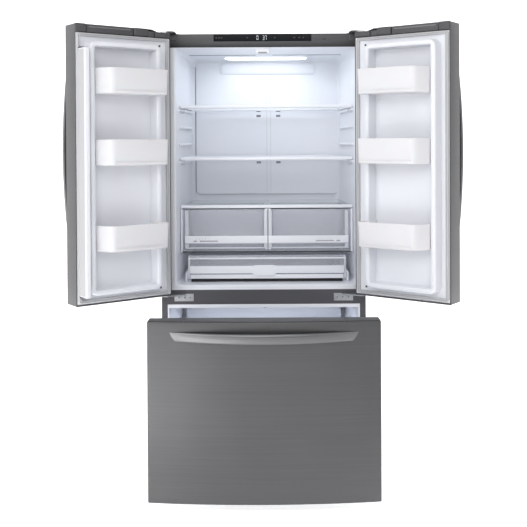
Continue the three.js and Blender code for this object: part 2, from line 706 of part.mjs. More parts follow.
function freezerRail() {
  const x = [-freezerHalf + FIT, -freezerHalf + RAIL_THICKNESS];
  const body = box(x, [6, 6 + railLength], railZ);
  const track = box([x[1] - TRACK_WALL, x[1] + 1], [5, railLength], shrink(railZ, TRACK_WALL + 2));
  return cut(body, track);
}

// ------------------------------------------------------------------ drawers inside
const crisperZ = [crisperFloorTop + SLIDE_GAP, crisperCoverTop - CRISPER_COVER - CRISPER_HEADROOM];
const crisperX = {
  left: [FRESH_SHIFT - freshHalf + CRISPER_MARGIN, dividerX - CRISPER_DIVIDER / 2 - SLIDE_GAP],
  right: [dividerX + CRISPER_DIVIDER / 2 + SLIDE_GAP, FRESH_SHIFT + freshHalf - CRISPER_MARGIN],
};
const crisperBand = CRISPER_BAND.map((rise) => crisperZ[0] + rise);
const slotZ = SLOT_RISE.map((rise) => crisperBand[0] + rise);
const bandFront = SHELF_FRONT - BAND_THICKNESS;
const leftSlotFrom = crisperX.left[0] + SLIDER_SIDE;
const rightSlotFrom = crisperX.right[1] - SLIDER_SIDE - SLIDER_LENGTH - SLIDER_TRAVEL;

function crisper([x0, x1], slotFrom) {
  const bin = openBox([x0, x1], [SHELF_FRONT, crisperBack], crisperZ);
  const band = box([x0, x1], [bandFront, SHELF_FRONT + 1], crisperBand);
  const slotX = [slotFrom - SLOT_END, slotFrom + SLIDER_LENGTH + SLIDER_TRAVEL + SLOT_END];
  const slot = box(slotX, [bandFront - 1, bandFront + SLOT_DEPTH], slotZ);
  return cut(join(bin, band), slot);
}

function humiditySlider(from) {
  const middle = from + SLIDER_LENGTH / 2;
  const plateY = [bandFront + 1, bandFront + SLOT_DEPTH - FIT];
  const plate = box([from, from + SLIDER_LENGTH], plateY, shrink(slotZ, FIT));
  const knobX = [middle - SLIDER_GRIP / 2, middle + SLIDER_GRIP / 2];
  return join(plate, box(knobX, [bandFront - 3, bandFront + 2], shrink(slotZ, 1)));
}

function pantryDrawer() {
  const side = freshHalf - PANTRY_MARGIN;
  const x = [FRESH_SHIFT - side, FRESH_SHIFT + side];
  const z = [freshFloor + PANTRY_RAISE, freshFloor + PANTRY_RAISE + PANTRY_HEIGHT];
  const back = freshDepth - PANTRY_BEHIND;
  const bin = openBox(x, [pantryFront, back], z);
  const runner = (at) => {
    const y = [pantryFront + RUNNER_END, back - RUNNER_END];
    return box([at - RUNNER_HALF, at + RUNNER_HALF], y, [freshFloor + FIT, z[0] + 1]);
  };
  const bandY = [pantryFront - BAND_THICKNESS, pantryFront + 1];
  const band = box(x, bandY, PANTRY_BAND.map((rise) => z[0] + rise));
  const gripX = PANTRY_GRIP_SIDE.map((offset) => FRESH_SHIFT + offset);
  const grip = box(gripX, bandY, PANTRY_GRIP.map((rise) => z[0] + rise));
  return join(bin, runner(x[0] + RUNNER_SIDE), runner(x[1] - RUNNER_SIDE), band, grip);
}

// ------------------------------------------------------------------ machinery
const machineMid = CASE_BOTTOM + MACHINE_HEIGHT / 2;

function compressor() {
  const y = CASE_DEPTH - MACHINE_DEPTH / 2 + 6;
  const base = CASE_BOTTOM + SHEET + FIT;
  const profile = [
    [0, 14],
    [COMPRESSOR_RADIUS - 16, 14],
    [COMPRESSOR_RADIUS - 3, 34],
    [COMPRESSOR_RADIUS, 78],
    [COMPRESSOR_RADIUS + 4, 82],
    [COMPRESSOR_RADIUS, 88],
    [COMPRESSOR_RADIUS - 6, 125],
    [COMPRESSOR_RADIUS - 30, 155],
    [0, COMPRESSOR_HEIGHT],
  ].map(([r, h]) => new THREE.Vector2(r, h));
  const dome = new THREE.LatheGeometry(profile, 20).rotateX(Math.PI / 2).translate(0, 0, base);
  const plate = box([-96, 96], [-70, 70], [base + 8, base + 16]);
  const foot = (footX, footY) => rod("z", [footX, footY, base + 5], 11, 10, 12);
  const feet = [-80, 80].flatMap((footX) => [foot(footX, -56), foot(footX, 56)]);
  return join(dome, plate, ...feet).translate([-half + 150, y, 0]);
}

// A stack of fins on a spine, each fin standing across X.
function finStack(x, y, z, count) {
  const pitch = (x[1] - x[0]) / count;
  const middle = (y[0] + y[1]) / 2;
  const spine = box(x, [middle - 6, middle + 6], [z[0] + 8, z[0] + 20]);
  const top = box(x, [middle - 6, middle + 6], [z[1] - 20, z[1] - 8]);
  const fins = [];
  for (let i = 0; i < count; i++) {
    const at = x[0] + pitch * (i + 0.5);
    fins.push(box([at - pitch / 6, at + pitch / 6], y, z));
  }
  return join(spine, top, ...fins);
}

function condenser() {
  const x = [110, 290];
  const y = [machineFront + 40, CASE_DEPTH - 36];
  const z = [CASE_BOTTOM + SHEET + FIT, machineTop - 22];
  return finStack(x, y, z, 9);
}

function evaporator() {
  const x = [-270, 270];
  const y = [coverBack + 6, freezerDepth - 6];
  const z = [machineTop + 24, freezerCeiling - 130];
  return finStack(x, y, z, 12);
}

const evaporatorFan = { x: 0, y: (coverBack + freezerDepth) / 2 + 4, z: freezerCeiling - 70 };
const condenserFan = { x: 30, y: CASE_DEPTH - MACHINE_DEPTH / 2, z: machineMid };

function evaporatorCover() {
  const x = [-freezerHalf + 24, freezerHalf - 24];
  const z = [machineTop + 20, freezerCeiling - 4];
  const panel = box(x, [coverBack - 3, coverBack], z);
  const footZ = [machineTop + STEP_ABOVE + WALL + FIT, z[0] + 1];
  const foot = box(x, [coverBack - 1, freezerDepth - FIT], footZ);
  const mouth = rod("y", [evaporatorFan.x, coverBack, evaporatorFan.z], EVAPORATOR_FAN_RADIUS - 6, 12, 20);
  return cut(join(panel, foot), mouth);
}

// A fan about its own Z axis: a hub and pitched blades.
function fan(radius, depth) {
  const hub = rod("z", [0, 0, 0], radius * 0.3, depth);
  const blades = [];
  for (let i = 0; i < 5; i++) {
    const blade = new THREE.BoxGeometry(radius * 0.8, radius * 0.5, 2.4);
    blade.rotateX(0.5).translate(radius * 0.58, 0, 0).rotateZ((i * 2 * Math.PI) / 5);
    blades.push(blade);
  }
  return toGeometry(join(hub, ...blades));
}

// ------------------------------------------------------------------ doors
// The left door where it is when closed; the right one is its mirror.
function doorPanel() {
  const pan = frontPan(door.x, door.z, doorLinerZ, true);
  const bore = PIN_RADIUS + PIN_CLEARANCE;
  const holes = door.z.map((z) => rod("z", [hinge.x, hinge.y, z], bore, PIN_LENGTH * 2));
  return cut(pan, ...holes);
}

function doorLiner(withLugs) {
  const plateX = shrink(door.x, LINER_INSET + FIT);
  const plate = box(plateX, [linerFace - WALL, linerFace], shrink(doorLinerZ, FIT));
  const ridge = alongY(roundedRect(dyke.x, dyke.z, 26), [linerFace - WALL, crest]);
  const tubX = shrink(recess.x, -WALL);
  const tubZ = shrink(recess.z, -WALL);
  const tub = alongY(roundedRect(tubX, tubZ, 26), [recessFloor - WALL, crest]);
  const opening = alongY(roundedRect(recess.x, recess.z, 23), [recessFloor, crest + 1]);
  const underRidge = roundedRect(shrink(dyke.x, WALL), shrink(dyke.z, WALL), 23);
  const ridgeInside = alongY(underRidge, [linerFace - WALL - 1, crest - WALL]);
  const shell = cut(join(plate, ridge), ridgeInside);
  const liner = cut(join(shell, tub), opening);
  if (!withLugs) return liner;
  return join(liner, mullionLug(mullionZ[0] - LUG_THICKNESS - LUG_GAP), mullionLug(mullionZ[1] + LUG_GAP));
}

// One of the two lugs that carry the flap's pins, standing on the liner beside the gasket.
function mullionLug(z0) {
  const x = [dyke.x[1] - 2, mullionPin.x + MULLION_THICKNESS / 2];
  const z = [z0, z0 + LUG_THICKNESS];
  const post = box([x[0], x[0] + LUG_POST], [linerFace - 1, mullionPin.y + LUG_HALF], z);
  return join(post, box(x, [mullionPin.y - LUG_HALF, mullionPin.y + LUG_HALF], z));
}

function doorGasket() {
  const x = [hinge.x - GASKET_PAST_PIN, door.x[1] - GASKET_FREE_INSET];
  return gasket(x, [doorBottom + GASKET_FOOT, doorTop - GASKET_HEAD]);
}

// Plan outline of a bin, drawn smaller by inset. Its hinge end laps over the dyke.
function binPlan(inset) {
  const y0 = recessFloor + FIT + inset;
  const y1 = linerFace + BIN_REACH - inset;
  const ear = crest + BIN_CLEAR + inset;
  const freeX = recess.x[1] - BIN_CLEAR - inset;
  const hingeX = recess.x[0] + BIN_CLEAR + inset;
  const earX = dyke.x[0] + BIN_EAR + inset;
  return polygon([
    [hingeX, y0],
    [freeX, y0],
    [freeX, crest],
    [freeX - BIN_SLANT, y1],
    [earX, y1],
    [earX, ear],
    [hingeX, ear],
  ]);
}

function doorBin(share) {
  const z0 = recess.z[0] + share * (recess.z[1] - recess.z[0] - BIN_HEIGHT);
  const body = upZ(binPlan(0), [z0, z0 + BIN_HEIGHT]);
  return cut(body, upZ(binPlan(WALL), [z0 + WALL, z0 + BIN_HEIGHT + 1]));
}

function doorHandle() {
  const middle = (doorBottom + doorTop) / 2 + HANDLE_LIFT;
  const x = door.x[1] - HANDLE_EDGE;
  const face = frontY(x);
  const ends = [middle - HANDLE_LENGTH / 2, middle + HANDLE_LENGTH / 2];
  const points = handleProfile(...ends, HANDLE_STANDOFF, HANDLE_BAR);
  const outline = polygon(points.map(([along, out]) => [face - out + 2, along]));
  const bar = alongX(outline, [x - HANDLE_WIDTH / 2, x + HANDLE_WIDTH / 2]);
  return cut(bar, upZ(frontOutline(door.x, 0, -FIT), door.z));
}

// The flap that closes the gap between the doors, folded back along the left door's free edge.
// Its near edge is rounded about its pin, so that it turns without touching the gasket.
function flipMullion() {
  const radius = MULLION_THICKNESS / 2;
  const section = new THREE.Shape();
  section.absarc(mullionPin.x, mullionPin.y, radius, Math.PI, 2 * Math.PI);
  section.lineTo(mullionPin.x + radius, flapReach);
  section.lineTo(mullionPin.x - radius, flapReach);
  section.closePath();
  return upZ(section, mullionZ, 10);
}

function makeDoor(side) {
  const swing = new THREE.Group();
  swing.position.set(hinge.x, hinge.y, 0);
  swing.rotation.z = -THREE.MathUtils.degToRad(OPEN_ANGLE);
  const body = new THREE.Group();
  body.position.set(-hinge.x, -hinge.y, 0);
  swing.add(body);
  add(body, side + "_door_panel", stainless, doorPanel());
  add(body, side + "_door_liner", whitePlastic, doorLiner(side === "left"));
  add(body, side + "_door_gasket", gasketRubber, doorGasket());
  add(body, side + "_door_handle", stainless, doorHandle());
  ["lower", "middle", "upper"].forEach((level, i) => {
    add(body, side + "_door_" + level + "_bin", frostedPlastic, doorBin(BIN_SHARES[i]));
  });
  if (side === "left") add(body, "flip_mullion", greyPlastic, flipMullion());
  return swing;
}

// ------------------------------------------------------------------ freezer drawer, where it is when shut
const drawerX = [-half + SIDE_INSET, half - SIDE_INSET];
const drawerZ = [DRAWER_BOTTOM, DRAWER_TOP];
const drawerLinerZ = [DRAWER_BOTTOM + LINER_FOOT, DRAWER_TOP - LINER_FOOT];
const plug = { x: [-freezerHalf + 16, freezerHalf - 16], z: [freezerFloor + 12, freezerCeiling - 14] };

function drawerLiner() {
  const plateX = shrink(drawerX, LINER_INSET + FIT);
  const plate = box(plateX, [linerFace - WALL, linerFace], shrink(drawerLinerZ, FIT));
  const step = alongY(roundedRect(plug.x, plug.z, 20), [linerFace - WALL, PLUG_FACE]);
  const under = roundedRect(shrink(plug.x, WALL), shrink(plug.z, WALL), 17);
  return cut(join(plate, step), alongY(under, [linerFace - WALL - 1, PLUG_FACE - WALL]));
}

function drawerGasket() {
  const x = shrink([-half, half], DRAWER_GASKET_SIDE);
  return gasket(x, [DRAWER_BOTTOM + DRAWER_GASKET_FOOT, DRAWER_TOP - DRAWER_GASKET_HEAD]);
}

function drawerHandle() {
  const reach = DRAWER_HANDLE_LENGTH / 2;
  const points = handleProfile(-reach, reach, HANDLE_STANDOFF, HANDLE_BAR);
  const face = frontY(reach);
  const outline = polygon(points.map(([along, out]) => [along, face - out + 2]));
  const middle = DRAWER_TOP - DRAWER_HANDLE_DROP;
  const bar = upZ(outline, [middle - DRAWER_HANDLE_HEIGHT / 2, middle + DRAWER_HANDLE_HEIGHT / 2]);
  return cut(bar, upZ(frontOutline(drawerX, 0, -FIT), drawerZ));
}

// Two moving rails, joined across the drawer's back face.
function drawerFrame() {
  const outer = freezerHalf - RAIL_THICKNESS - SLIDE_GAP;
  const railX = [outer - RAIL_THICKNESS, outer];
  const z = shrink(railZ, 3);
  const rail = (side) => box(side < 0 ? [-railX[1], -railX[0]] : railX, [4, 4 + railLength - 14], z);
  const cross = box([-railX[1], railX[1]], [PLUG_FACE + FIT, PLUG_FACE + 5], z);
  return join(rail(-1), rail(1), cross);
}

function freezerBasket() {
  const x = [-basketHalf, basketHalf];
  const y = [BASKET_FRONT, basketBack];
  return openBox(x, y, [basketFloor, basketTop]);
}

function freezerTray() {
  const x = [-basketHalf, basketHalf];
  const y = [BASKET_FRONT + 4, basketBack - 60];
  const z0 = basketTop + TRAY_GAP;
  return openBox(x, y, [z0, z0 + TRAY_HEIGHT]);
}

// ------------------------------------------------------------------ assembly
function makeCabinet() {
  const cabinet = new THREE.Group();
  add(cabinet, "top_panel", darkSheet, topPanel());
  add(cabinet, "back_panel", darkSheet, backPanel());
  add(cabinet, "base_pan", zincSteel, basePan());
  add(cabinet, "machine_cover", darkSheet, machineCover());
  add(cabinet, "power_inlet", blackPlastic, powerInlet());
  add(cabinet, "centre_rail", darkSheet, centreRail());
  add(cabinet, "fresh_food_liner", whitePlastic, freshFoodLiner());
  add(cabinet, "freezer_liner", whitePlastic, freezerLiner());
  add(cabinet, "control_housing", greyPlastic, controlHousing());
  add(cabinet, "display_glass", blackGlass, displayPlate(0));
  add(cabinet, "lamp_cover", clearPlastic, lampCover());
  add(cabinet, "air_duct_cover", whitePlastic, airDuctCover());
  add(cabinet, "middle_shelf", glass, shelf(shelfTops[0]));
  add(cabinet, "upper_shelf", glass, shelf(shelfTops[1]));
  add(cabinet, "crisper_frame", whitePlastic, crisperFrame());
  add(cabinet, "compressor", blackPaint, compressor());
  add(cabinet, "condenser", blackPaint, condenser());
  add(cabinet, "evaporator", finStock, evaporator());
  add(cabinet, "evaporator_cover", whitePlastic, evaporatorCover());
  for (const side of ["left", "right"]) {
    const mirror = new THREE.Group();
    mirror.scale.x = side === "left" ? 1 : -1;
    add(mirror, side + "_side_panel", darkSheet, sidePanel());
    add(mirror, side + "_top_hinge", zincSteel, topHinge());
    add(mirror, side + "_mid_hinge", zincSteel, midHinge());
    add(mirror, side + "_freezer_rail", zincSteel, freezerRail());
    add(mirror, side + "_front_leg", blackPlastic, frontLeg());
    add(mirror, side + "_rear_roller", blackPlastic, rearRoller(-1));
    mirror.add(makeDoor(side));
    cabinet.add(mirror);
  }
  return cabinet;
}

function makeInnerDrawers() {
  const drawers = new THREE.Group();
  add(drawers, "left_crisper", clearPlastic, crisper(crisperX.left, leftSlotFrom));
  add(drawers, "right_crisper", clearPlastic, crisper(crisperX.right, rightSlotFrom));
  add(drawers, "left_humidity_slider", greyPlastic, humiditySlider(leftSlotFrom));
  add(drawers, "right_humidity_slider", greyPlastic, humiditySlider(rightSlotFrom + SLIDER_TRAVEL));
  add(drawers, "pantry_drawer", clearPlastic, pantryDrawer());
  return drawers;
}

function makeFreezerDrawer() {
  const drawer = new THREE.Group();
  add(drawer, "freezer_drawer_front", stainless, frontPan(drawerX, drawerZ, drawerLinerZ));
  add(drawer, "freezer_drawer_liner", whitePlastic, drawerLiner());
  add(drawer, "freezer_drawer_gasket", gasketRubber, drawerGasket());
  add(drawer, "freezer_drawer_handle", stainless, drawerHandle());
  add(drawer, "freezer_drawer_frame", zincSteel, drawerFrame());
  add(drawer, "freezer_basket", whitePlastic, freezerBasket());
  add(drawer, "freezer_tray", clearPlastic, freezerTray());
  drawer.position.y = -DRAWER_TRAVEL;
  return drawer;
}

function makeFans() {
  const fans = new THREE.Group();
  const cold = add(fans, "evaporator_fan", blackPlastic, fan(EVAPORATOR_FAN_RADIUS, 18));
  cold.rotation.x = Math.PI / 2;
  cold.position.set(evaporatorFan.x, evaporatorFan.y, evaporatorFan.z);
  const warm = add(fans, "condenser_fan", blackPlastic, fan(FAN_RADIUS, 24));
  warm.rotation.y = Math.PI / 2;
  warm.position.set(condenserFan.x, condenserFan.y, condenserFan.z);
  return fans;
}

const refrigerator = new THREE.Group();
const standing = new THREE.Group();
standing.add(makeCabinet(), makeInnerDrawers(), makeFreezerDrawer(), makeFans());
refrigerator.add(standing);

// The origin is on the floor, under the middle of the whole, as it stands with its doors open.
const extent = new THREE.Box3().setFromObject(standing, true);
standing.position.y = -(extent.min.y + extent.max.y) / 2;

export default refrigerator;
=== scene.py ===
"""Looks of a french door refrigerator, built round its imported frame.

Metres, +X to the right, +Y into the cabinet, +Z up. Door pieces are worked out as if the door were shut,
then swung about the hinge to where the frame holds it.
"""
import json
import math

import bpy
import numpy as np
from bpy.props import FloatProperty, FloatVectorProperty, PointerProperty
from mathutils import Matrix, Vector


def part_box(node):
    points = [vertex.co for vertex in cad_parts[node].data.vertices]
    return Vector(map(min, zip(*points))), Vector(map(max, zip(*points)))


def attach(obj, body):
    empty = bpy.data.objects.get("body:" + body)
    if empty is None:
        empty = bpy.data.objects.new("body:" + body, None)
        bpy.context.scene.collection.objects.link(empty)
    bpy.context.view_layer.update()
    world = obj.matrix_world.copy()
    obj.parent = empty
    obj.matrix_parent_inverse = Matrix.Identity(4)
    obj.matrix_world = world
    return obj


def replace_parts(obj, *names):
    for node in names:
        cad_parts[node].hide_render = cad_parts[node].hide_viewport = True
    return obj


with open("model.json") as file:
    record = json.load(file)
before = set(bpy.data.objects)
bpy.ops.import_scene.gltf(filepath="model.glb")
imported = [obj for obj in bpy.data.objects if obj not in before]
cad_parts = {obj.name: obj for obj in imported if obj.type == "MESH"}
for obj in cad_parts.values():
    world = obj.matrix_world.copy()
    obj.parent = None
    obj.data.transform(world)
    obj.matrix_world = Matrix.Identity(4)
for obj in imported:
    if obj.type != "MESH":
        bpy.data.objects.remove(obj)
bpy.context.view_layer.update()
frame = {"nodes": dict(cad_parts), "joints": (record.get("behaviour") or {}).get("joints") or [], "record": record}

bl_info = {
    "name": "French Door Refrigerator",
    "version": (1, 0, 0),
    "blender": (4, 5, 0),
    "location": "View3D > Sidebar > Refrigerator",
    "description": "Builds the visible pieces of a french door refrigerator round its frame",
    "category": "Object",
}

JOINTS = {joint["name"]: joint for joint in frame["joints"]}
SIDES = ((-1, "left"), (1, "right"))
FIT = 0.0003  # gap the frame leaves under a shelf or drawer
WALL = 0.003  # thickness of the moulded walls
HANDLE_BAR = 0.014
RIDGE_WIDTH = 0.022
BACK_ROUND = 0.030  # rounding of the compartment's back corners
SIDE_GAP = 0.003  # between a shelf and the compartment's wall
PLUG_Z = (0.074, 0.618)  # foot and head of the raised middle of the drawer's back
CAMERA_PLACE = (0.0, -3.5482, 1.300)  # Y is measured from the case's front
CAMERA_TURN = (math.pi / 2 - 0.0116, -0.0053)


# --- places read from the frame
def corners(node):
    """Lowest and highest corner of a node as two plain arrays."""
    low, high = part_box(node)
    return np.array(low), np.array(high)


def spans(node):
    """Spans of a node in X, Y and Z."""
    return tuple(zip(*corners(node)))


def points_of(node):
    """All vertices of a node as an array of rows."""
    mesh = frame["nodes"][node].data
    flat = np.empty(len(mesh.vertices) * 3)
    mesh.vertices.foreach_get("co", flat)
    return flat.reshape(-1, 3)


HINGE = np.array(JOINTS["left_door_hinge"]["pos_m"][:2])
OPEN = math.radians(max(abs(a) for a in JOINTS["left_door_hinge"]["range_deg"]))


def turned(points, centre, angle):
    """Turns points by angle about a vertical axis through centre: the plane rotation formula on X and Y."""
    out = np.array(points, dtype=float)
    x = out[..., 0] - centre[0]
    y = out[..., 1] - centre[1]
    out[..., 0] = centre[0] + x * math.cos(angle) - y * math.sin(angle)
    out[..., 1] = centre[1] + x * math.sin(angle) + y * math.cos(angle)
    return out


def closed_box(node):
    """Box of a left door node with that door shut: its vertices turned back about the hinge."""
    shut = turned(points_of(node), HINGE, OPEN)
    return shut.min(axis=0), shut.max(axis=0)


FRONT = corners("centre_rail")[0][1]
HALF = corners("right_side_panel")[1][0]
PANEL = closed_box("left_door_panel")
LINER = closed_box("left_door_liner")
GASKET = closed_box("left_door_gasket")
HANDLE = closed_box("left_door_handle")
FLAP = closed_box("flip_mullion")
DOOR_BACK = PANEL[1][1]
CREST = DOOR_BACK + 0.050
RIDGE_X = (PANEL[0][0] + 0.068, PANEL[1][0] - 0.038)


def around(centre, half):
    """A span that reaches as far to both sides of its centre."""
    return centre - half, centre + half


def placed(flat, axis, value):
    """A flat loop set in space: a third coordinate is put in at the given axis."""
    return np.insert(flat, axis, value, axis=1)


# --- sizes and colours a user would change
class FRIDGE_PG_sizes(bpy.types.PropertyGroup):
    """Sizes of the formed pieces."""

    bow: FloatProperty(name="Front bow", description="How much thicker the fronts are in the middle",
                       default=0.025, unit="LENGTH")
    edge: FloatProperty(name="Edge rounding", description="Rounding of the steel fronts' edges",
                        default=0.004, unit="LENGTH")
    ridge: FloatProperty(name="Ridge rounding", description="Rounding of the door liner's ridge",
                         default=0.007, unit="LENGTH")
    recess: FloatProperty(name="Door recess", description="Depth of the recess behind the door bins",
                          default=0.028, unit="LENGTH")
    pane: FloatProperty(name="Pane", description="Thickness of the shelf glass", default=0.004, unit="LENGTH")
    trim: FloatProperty(name="Trim", description="Height of the shelves' front trim",
                        default=0.0135, unit="LENGTH")
    lamp: FloatProperty(name="Lamp", description="Power of the lamp in the ceiling", default=0.8, min=0.0)


class FRIDGE_PG_colours(bpy.types.PropertyGroup):
    """Colours of the finishes."""

    steel: FloatVectorProperty(name="Steel", description="Dark stainless fronts", subtype="COLOR",
                               default=(0.128, 0.128, 0.130))
    sheet: FloatVectorProperty(name="Case", description="Painted case", subtype="COLOR",
                               default=(0.085, 0.084, 0.092))
    grey: FloatVectorProperty(name="Grey plastic", description="Trims and covers", subtype="COLOR",
                              default=(0.070, 0.070, 0.073))
    white: FloatVectorProperty(name="White plastic", description="Liners", subtype="COLOR",
                               default=(0.80, 0.81, 0.85))
    bins: FloatVectorProperty(name="Bin plastic", description="Door bins", subtype="COLOR",
                              default=(0.74, 0.735, 0.755))
    seal: FloatVectorProperty(name="Seal", description="Door seals", subtype="COLOR",
                              default=(0.52, 0.52, 0.53))


# --- finishes
FINISHES = {}
FINE_SHARE = 0.55


def node_in(tree, kind, **inputs):
    """A new shader node of a kind, with inputs filled in by name."""
    made = tree.nodes.new("ShaderNode" + kind)
    for socket, value in inputs.items():
        made.inputs[socket.replace("_", " ")].default_value = value
    return made


def run_along(tree, output, axis, span, values):
    """A value that goes from the first to the second of two values while a coordinate crosses a span."""
    place, split = node_in(tree, "TexCoord"), node_in(tree, "SeparateXYZ")
    level = node_in(tree, "MapRange", From_Min=span[0], From_Max=span[1], To_Min=values[0], To_Max=values[1])
    tree.links.new(place.outputs[output], split.inputs["Vector"])
    tree.links.new(split.outputs[axis], level.inputs["Value"])
    return level.outputs["Result"]


def finish(name, colour, rough, metal=0.0, grain=220.0, spread=0.06, relief=0.08, tint=0.05, **sockets):
    """A Principled finish whose grain is stretched noise: it moves the colour, roughness and relief a little.

    A second, much larger noise clouds the colour, as handling and forming do on the real surface.
    """
    material = bpy.data.materials.new(name)
    material.use_nodes = True
    tree = material.node_tree
    shader = tree.nodes["Principled BSDF"]
    place = node_in(tree, "TexCoord")
    stretch = node_in(tree, "Mapping", Scale=grain if isinstance(grain, tuple) else (grain,) * 3)
    fine = node_in(tree, "TexNoise", Scale=1.0, Detail=3.0)
    cloud = node_in(tree, "TexNoise", Scale=2.3, Detail=2.0)
    shades = node_in(tree, "ValToRGB")
    for element, gain in zip(shades.color_ramp.elements, (1 - tint, 1 + tint)):
        element.color = (*[min(c * gain, 1) for c in colour], 1)
    blend, share = node_in(tree, "Math"), node_in(tree, "Math")
    blend.operation, share.operation = "MULTIPLY_ADD", "MULTIPLY"
    blend.inputs[1].default_value, share.inputs[1].default_value = FINE_SHARE, 1 - FINE_SHARE
    dull = node_in(tree, "MapRange", To_Min=max(rough - spread, 0.0), To_Max=min(rough + spread, 1.0))
    bump = node_in(tree, "Bump", Strength=relief, Distance=0.0006)
    for start, output, end, socket in (
            (place, "Object", stretch, "Vector"), (stretch, "Vector", fine, "Vector"),
            (place, "Object", cloud, "Vector"), (cloud, "Fac", share, 0), (fine, "Fac", blend, 0),
            (share, "Value", blend, 2), (blend, "Value", shades, "Fac"),
            (shades, "Color", shader, "Base Color"), (fine, "Fac", dull, "Value"),
            (dull, "Result", shader, "Roughness"), (fine, "Fac", bump, "Height"),
            (bump, "Normal", shader, "Normal")):
        tree.links.new(start.outputs[output], end.inputs[socket])
    for socket, value in {"Metallic": metal, **sockets}.items():
        shader.inputs[socket.replace("_", " ")].default_value = value
    FINISHES[name] = material
    return material


def make_finishes(colours):
    """All finishes, each named after the record's slot it belongs to, or after its use."""
    brushed, upright = (2.5, 2.5, 430.0), (430.0, 430.0, 2.5)
    finish("stainless", colours.steel, 0.36, 0.92, brushed, 0.12, 0.12, 0.30)
    # Painted sheen: the handles' finishes are the same steel colour made 1.7 and 1.9 times lighter, so the bars
    # look lit.
    for name, gain, grain in (("handle_steel", 1.7, brushed), ("upright_steel", 1.9, upright)):
        finish(name, tuple(c * gain for c in colours.steel), 0.30, 0.92, grain, 0.08, 0.08, 0.2)
    finish("dark_sheet", colours.sheet, 0.46, 0.25, 900.0, 0.06, 0.22, 0.06)
    finish("grey_plastic", colours.grey, 0.48, 0.0, 1400.0, 0.07, 0.16, 0.05)
    finish("white_plastic", colours.white, 0.36, 0.0, 700.0, 0.06, 0.06, 0.02)
    finish("frosted_plastic", colours.bins, 0.33, 0.0, 500.0, 0.05, 0.05, 0.015,
           Subsurface_Weight=0.12, Subsurface_Scale=0.01)
    finish("clear_plastic", (0.78, 0.79, 0.86), 0.07, 0.0, 90.0, 0.03, 0.03, 0.02, Alpha=0.22)
    finish("shelf_glass", (0.70, 0.78, 0.80), 0.04, 0.0, 40.0, 0.02, 0.01, 0.02, Alpha=0.16)
    finish("frame_plastic", (0.80, 0.81, 0.86), 0.10, 0.0, 90.0, 0.03, 0.03, 0.02, Alpha=0.62)
    finish("black_glass", (0.006, 0.007, 0.009), 0.07, 0.0, 60.0, 0.02, 0.01, 0.1, Specular_IOR_Level=0.08)
    finish("gasket_rubber", colours.seal, 0.62, 0.0, 800.0, 0.06, 0.15, 0.06)
    finish("zinc_steel", (0.50, 0.51, 0.52), 0.34, 0.9, 160.0, 0.12, 0.12, 0.12)
    finish("zinc_grey", tuple(c * 2.6 for c in colours.grey), 0.35, 0.3, 300.0)
    finish("copper", (0.62, 0.28, 0.16), 0.3, 0.95, 200.0, 0.08, 0.1, 0.1)
    finish("black_paint", (0.018, 0.018, 0.02), 0.42, 0.1, 700.0, 0.07, 0.2, 0.1)
    finish("fin_stock", (0.66, 0.67, 0.69), 0.36, 0.9, (60.0, 400.0, 60.0), 0.1, 0.1, 0.08)
    finish("black_plastic", (0.02, 0.02, 0.022), 0.55, 0.0, 900.0, 0.07, 0.2, 0.1)
    finish("shadow", (0.012, 0.012, 0.014), 0.7, 0.0, 400.0, 0.05, 0.1, 0.1)
    finish("seam_grey", (0.32, 0.32, 0.34), 0.5)
    finish("pale_grey", (0.50, 0.50, 0.51), 0.45)
    finish("glow", (0.95, 0.97, 1.0), 0.4, 0.0, 30.0, 0.05, 0.02, 0.02,
           Emission_Color=(0.93, 0.96, 1.0, 1.0), Emission_Strength=2.6)
    finish("digits", (0.9, 0.95, 1.0), 0.4, 0.0, 30.0, 0.05, 0.02, 0.02,
           Emission_Color=(0.85, 0.93, 1.0, 1.0), Emission_Strength=0.45)
    finish("faint", (0.035, 0.035, 0.038), 0.4, 0.0, 30.0, 0.05, 0.02, 0.02)


# --- surfaces
def piece(name, points, faces, body, look, sharp=38.0):
    """Makes a mesh object from points and faces, turned outwards by its signed volume, and lets it ride."""
    points = np.asarray(points, dtype=float).reshape(-1, 3)
    mesh = bpy.data.meshes.new(name)
    mesh.from_pydata(points.tolist(), [], faces)
    mesh.validate()
    mesh.calc_loop_triangles()
    index = np.empty(len(mesh.loop_triangles) * 3, dtype=np.int64)
    mesh.loop_triangles.foreach_get("vertices", index)
    a, b, c = points[index.reshape(-1, 3)].transpose(1, 0, 2)
    if np.einsum("ij,ij->i", a, np.cross(b, c)).sum() < 0:
        mesh.flip_normals()
    mesh.shade_smooth()
    mesh.set_sharp_from_angle(angle=math.radians(sharp))
    mesh.materials.append(FINISHES[look])
    made = bpy.data.objects.new(name, mesh)
    bpy.context.scene.collection.objects.link(made)
    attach(made, body)
    return made


def loft_faces(rows, columns, ring=False):
    """Quads between neighbouring closed loops; with ring, the last loop joins the first."""
    grid = np.arange(rows * columns).reshape(rows, columns)
    if ring:
        grid = np.vstack([grid, grid[:1]])
    low, high = grid[:-1], grid[1:]
    quads = np.stack([low, np.roll(low, -1, axis=1), np.roll(high, -1, axis=1), high], axis=-1)
    faces = quads.reshape(-1, 4).tolist()
    if not ring:
        faces.append(grid[0][::-1].tolist())
        faces.append(grid[-1].tolist())
    return faces


def loft(name, loops, body, look, ring=False, sharp=38.0):
    """A surface through loops of the same number of points, its ends closed unless it is a ring."""
    loops = np.asarray(loops, dtype=float)
    faces = loft_faces(loops.shape[0], loops.shape[1], ring)
    return piece(name, loops, faces, body, look, sharp)


def door_loft(name, loops, side, look, ring=False, body=None, sharp=38.0):
    """A loft drawn on the shut left door, mirrored for the right one and swung open about the hinge."""
    loops = turned(loops, HINGE, -OPEN)
    if side == "right":
        loops[..., 0] *= -1
    return loft(name, loops, body or side + "_door", look, ring, sharp)


